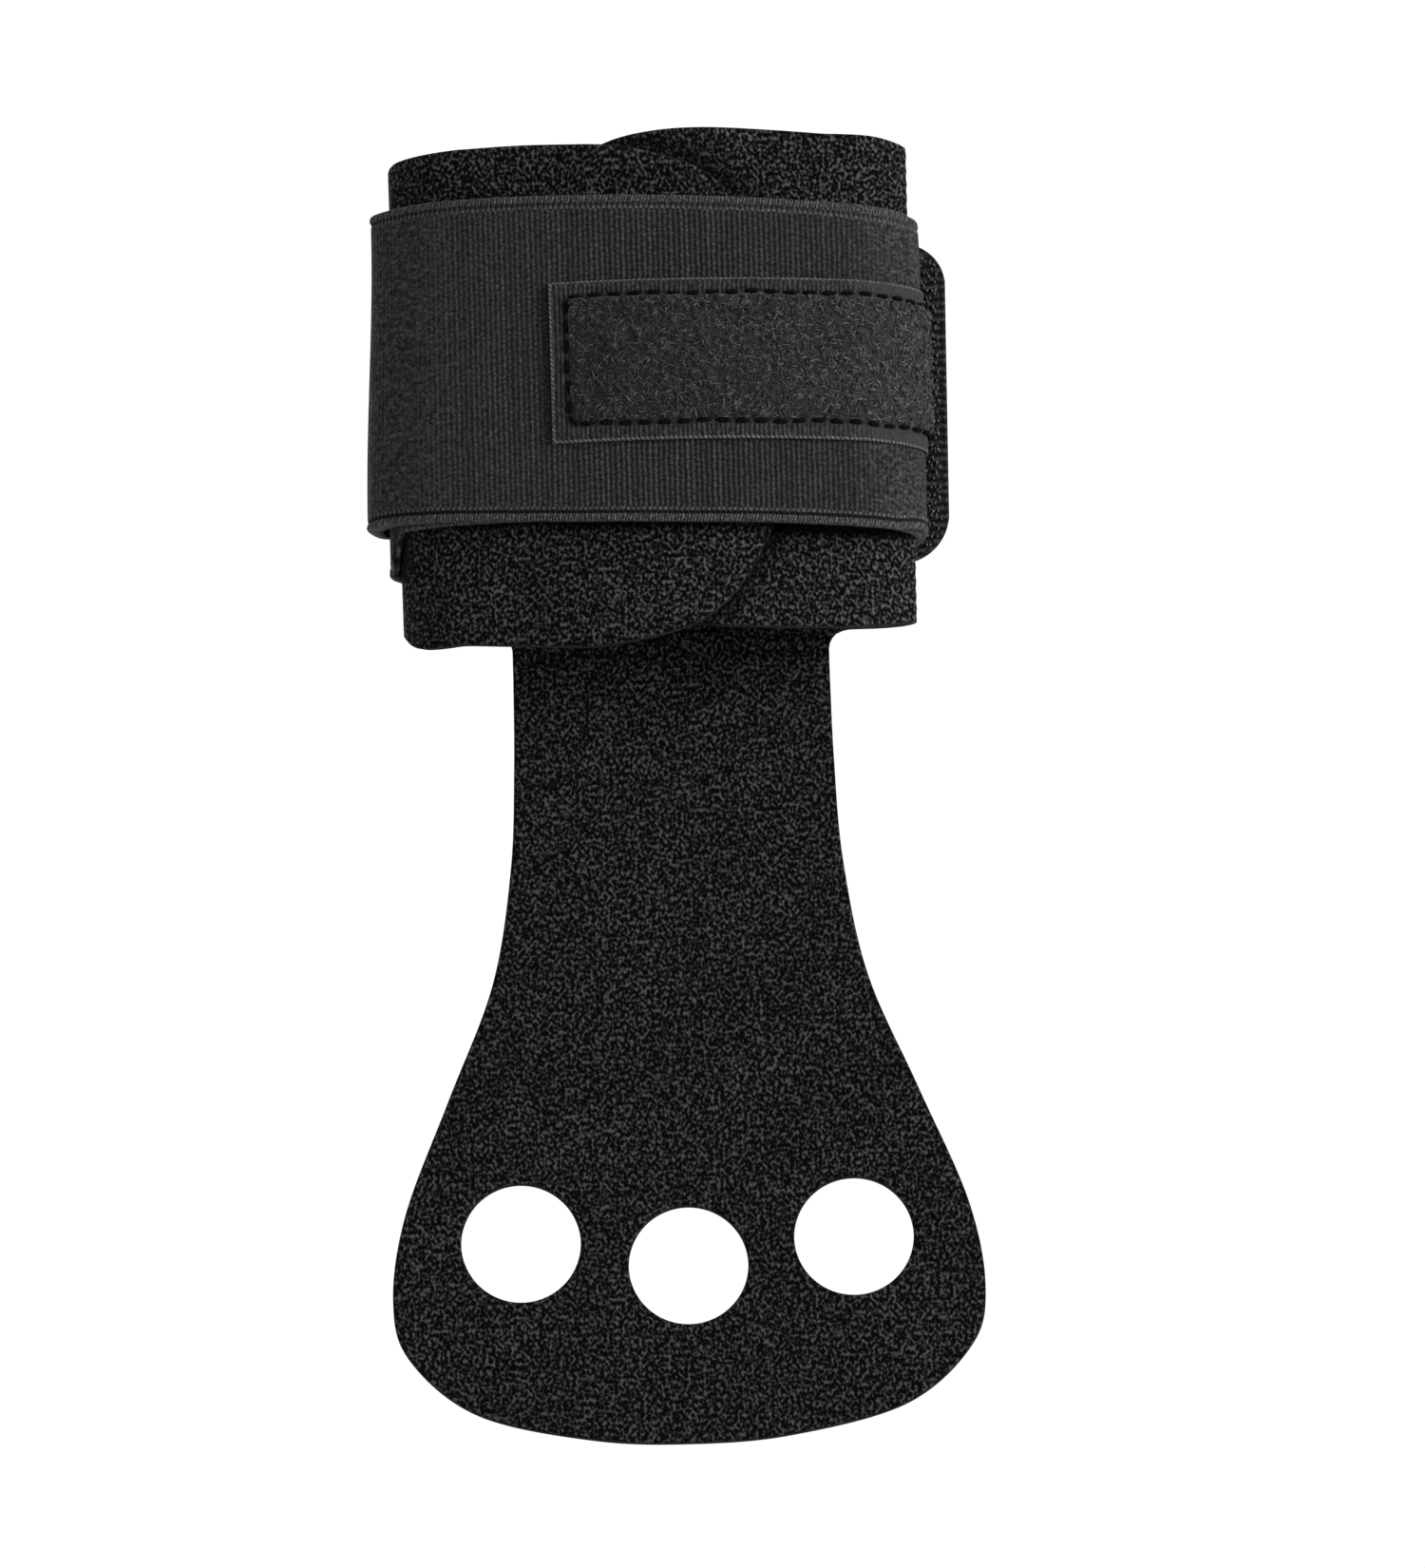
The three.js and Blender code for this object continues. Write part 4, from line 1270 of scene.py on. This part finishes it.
def make_patch():
    s = end_columns(0.0, patch_route.length, RIB_PITCH / 3, (0.12, 0.3, 0.5, 0.7, 1.0, 1.4))
    rows = edge_rows(PATCH_TOP - PATCH_BOTTOM, PATCH_ROWS, 0.45)
    low, high = np.full(len(s), PATCH_BOTTOM), np.full(len(s), PATCH_TOP)
    tape = ribbon(
        "loop_patch_tape", patch_route, s, low, high, rows, PATCH_HALF, patch_relief,
        lambda s, z, inset: 0 * s, [border, pile], patch_slot, third=patch_share,
    )
    rng = np.random.default_rng(11)
    split = patch_route.nearest(FOLD_X, patch_back_y)
    fibres = []
    for name, count, start, end in (
        ("pile_front", FRONT_FIBRES, PATCH_INSETS[2] + 0.5, split),
        ("pile_back", BACK_FIBRES, split, patch_route.length - PATCH_INSETS[3] - 0.3),
    ):
        paths, across = pile_paths(rng, count, start, end)
        fibres.append(strands(name, paths, FIBRE_RADII, 3, [loose], across))
    return tape, fibres


def make_patch_stitches():
    """Black stitches all round the pile."""
    bottom, top = PATCH_BOTTOM + PATCH_INSETS[0], PATCH_TOP - PATCH_INSETS[1]
    left, right = PATCH_INSETS[2], patch_route.length - PATCH_INSETS[3]
    corner = 1.3  # the line cuts across the lower left one
    runs = [
        ((left, top), (right, top)),
        ((left, top), (left, bottom + corner)),
        ((left, bottom + corner), (left + corner, bottom)),
        ((left + corner, bottom), (right, bottom)),
        ((right, top), (right, bottom)),
    ]
    pairs = [run_of(a, b, PATCH_STITCH_PITCH, PATCH_STITCH_DASH) for a, b in runs]
    starts, ends = (np.concatenate(side) for side in zip(*pairs))
    for side in (starts, ends):
        off = waver(side.sum(axis=1))
        side[:, 1] += off * np.sign(side[:, 1]) * (side[:, 0] > left + 0.1)
        side[:, 0] -= off * (side[:, 0] < left + 0.1)
    paths, across = stitch_paths(raised(patch_route, PATCH_HALF), starts, ends, 0.12, 0.4)
    radii = PATCH_THREAD * STITCH_TAPER
    return strands("loop_patch_thread", paths, radii, 7, [black_thread], across)


border, pile, loose = border_material(), pile_material(), fibre_material()
black_thread = thread_material("black_thread", 0.0002, 0.002, 0.05, 0.0)
patch_tape, patch_pile = make_patch()
# Painted light on the pile and its fibres, brighter to the right.
for piece in (patch_tape, *patch_pile):
    add_shade(piece, np.interp(points_mm(piece)[:, 0], *zip(*PILE_PAINTED_LIGHT)))
patch_thread = make_patch_stitches()
for piece in (patch_tape, *patch_pile):
    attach(piece, "cuff")
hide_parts("loop_patch")
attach(patch_thread, "cuff")
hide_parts("loop_patch_stitching")


# ---------------------------------------------------------------- the hook tab

TAB_CORNERS = (7.8, 6.8)  # the bottom one's radius and the top one's
TAB_LEAN = 0.0127  # how much further each millimetre up reaches at the free end
tab_y = (tab_low[1] + tab_high[1]) / 2
tab_half = HOOK_TAPE / 2
TAB_BOTTOM, TAB_TOP = tab_low[2], tab_high[2]


class Leaning(Route):
    """A straight route whose far end leans: higher places reach further along it."""

    def place(self, s, z, lift):
        return super().place(s * (1 + TAB_LEAN * (z + 10) / self.length), z, lift)


tab_route = Leaning([straight(sewn_low[0], tab_high[0] + 1, tab_y)], 1)
TAB_LENGTH = tab_high[0] - sewn_low[0]
SEAMS = [x - sewn_low[0] for x in (-14.2, -12.6, -10.2, -8.6)]  # its four rows, along the tab
SEAM_PITCH = 3.0
HOOK_RADII = [0.17, 0.15, 0.14, 0.14, 0.13, 0.1]
# Where the seam's thread turns down into the cloth.
seam_turns = np.arange(TAB_BOTTOM + 2.2, TAB_TOP - 1.2, SEAM_PITCH)


def tab_edges(s):
    """The tab's lower and upper edge, rounded into its two free corners."""
    cut_off = []
    for radius in TAB_CORNERS:
        into = np.clip(s - (TAB_LENGTH - radius), 0, radius * 0.995)
        cut_off.append(radius - np.sqrt(radius**2 - into**2))
    return TAB_BOTTOM + cut_off[0], TAB_TOP - cut_off[1]


def tab_outer_relief(s, z, inset):
    """Twill, a rolled edge, and a hollow along each row of the seam with a pit at each hole."""
    diagonal = np.cos(2 * math.pi * (s + TWILL_SLANT * z) / TWILL_STEP)
    across = np.cos(2 * math.pi * (z - TWILL_CROSSING * s) / TWILL_CROSS_STEP)
    relief = 0.07 * diagonal + 0.03 * across + 0.08 * smooth((0.7 - inset) / 0.3)
    to_hole = (z - seam_turns[0] + SEAM_PITCH / 2) % SEAM_PITCH - SEAM_PITCH / 2
    for row in SEAMS:
        relief = relief - 0.16 * hill((s - row) / 0.5)
        relief = relief - 0.3 * hill((s - row) / 0.3) * hill(to_hole / 0.35)
    return relief


def tab_inner_relief(s, z, inset):
    return 0.03 * np.cos(2 * math.pi * z / 0.8) + 0.12 * smooth((0.8 - inset) / 0.3)


def tab_hooks(rng):
    """Small bent hooks in rows on the inner face of the tab."""
    s = np.arange(sewn_high[0] - sewn_low[0] + 1.2, TAB_LENGTH - 1.3, HOOK_PITCH / 2)
    z = np.arange(TAB_BOTTOM + 1.8, TAB_TOP - 1.6, HOOK_PITCH)
    s, z = (grid.ravel() for grid in np.meshgrid(s, z))
    s = s + (np.round(z / HOOK_PITCH) % 2) * HOOK_PITCH / 4
    low, high = tab_edges(s)
    kept = (s < TAB_LENGTH - 1.2) & (z > low + 1.2) & (z < high - 1.2)
    s, z = s[kept, None], z[kept, None]
    one_each = (len(s), 1)
    turn = rng.choice([-1, 1], one_each) * rng.uniform(0.7, 1.3, one_each)
    t = np.linspace(0, 1, len(HOOK_RADII))[None, :]
    bent = turn * 0.55 * np.sin(t * 2.6)
    lean = rng.uniform(-0.25, 0.25, one_each) * t
    rise = np.sin(np.minimum(t * 1.9, 2.0)) * rng.uniform(0.8, 1.0, one_each)
    paths = tab_route.place(s + lean, z + bent, 0.1 - tab_half - rise)
    across = np.tile([1.0, 0.0, 0.0], one_each)
    return strands("tab_hooks", paths, HOOK_RADII, 5, [nylon], across)


def make_tab():
    s = end_columns(0.0, TAB_LENGTH, 0.31, (0.12, 0.3, 0.5, 0.7))
    rows = edge_rows(TAB_TOP - TAB_BOTTOM, [0, 0.1, 0.3, 0.5, 0.7, 1.0], 0.34)
    low, high = tab_edges(s)
    return ribbon(
        "hook_tab_tape", tab_route, s, low, high, rows, tab_half, tab_outer_relief, tab_inner_relief,
        [hook_ground, twill], lambda middle, outside: outside.astype(int),
    )


def seam_row(i, s):
    """One row of the seam: light stitches end to end, each down a hole and up again."""
    starts = np.stack([np.full(len(seam_turns) - 1, s), seam_turns[:-1] + 0.2], axis=1)
    ends = starts + (0, SEAM_PITCH - 0.4)
    ends[:, 0] += 0.1 * (-1) ** i
    paths, across = stitch_paths(raised(tab_route, tab_half), starts, ends, 0.12, 0.45)
    radii = SEAM_THREAD * STITCH_TAPER
    return strands(f"seam_thread_{i + 1}", paths, radii, 7, [grey_thread], across)


hook_ground, twill, nylon = hook_material(), twill_material(), nylon_material()
grey_thread = thread_material("grey_thread", 0.02, 0.075, 0.35, 0.1)
tab_tape = make_tab()
hooks = tab_hooks(np.random.default_rng(5))
for piece in (tab_tape, hooks):
    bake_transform(piece)
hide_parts("hook_tab_sewn_end", "hook_tab")
for i, s in enumerate(SEAMS):
    row = seam_row(i, s)
    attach(row, "strap_tail")
    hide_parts(f"seam_stitch_row_{i + 1}")


# ---------------------------------------------------------------- the strap's anchor rows

ANCHOR_DASH = 2.4


def inside_back(x, z, lift):
    """Points lifted off the inner face of the cuff's back, into the wrist opening."""
    return np.stack(np.broadcast_arrays(x, BACK_Y - SHEET / 2 - lift, z), axis=-1)


for i in (1, 2):
    low, high = box_mm(f"anchor_stitch_row_{i}")
    x = (low[0] + high[0]) / 2
    starts, ends = run_of((x, low[2]), (x, high[2]), SEAM_PITCH, ANCHOR_DASH)
    paths, across = stitch_paths(inside_back, starts, ends, 0.15, 0.3)
    row = strands(f"anchor_thread_{i}", paths, ANCHOR_THREAD * STITCH_TAPER, 7, [black_thread], across)
    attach(row, "cuff")
    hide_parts(f"anchor_stitch_row_{i}")


# ---------------------------------------------------------------- stage

bpy.ops.mesh.primitive_plane_add(size=8, location=(0, 0, FLOOR_Z * MM))
floor = bpy.context.object
floor.name = "floor"
floor.data.materials.append(floor_material())
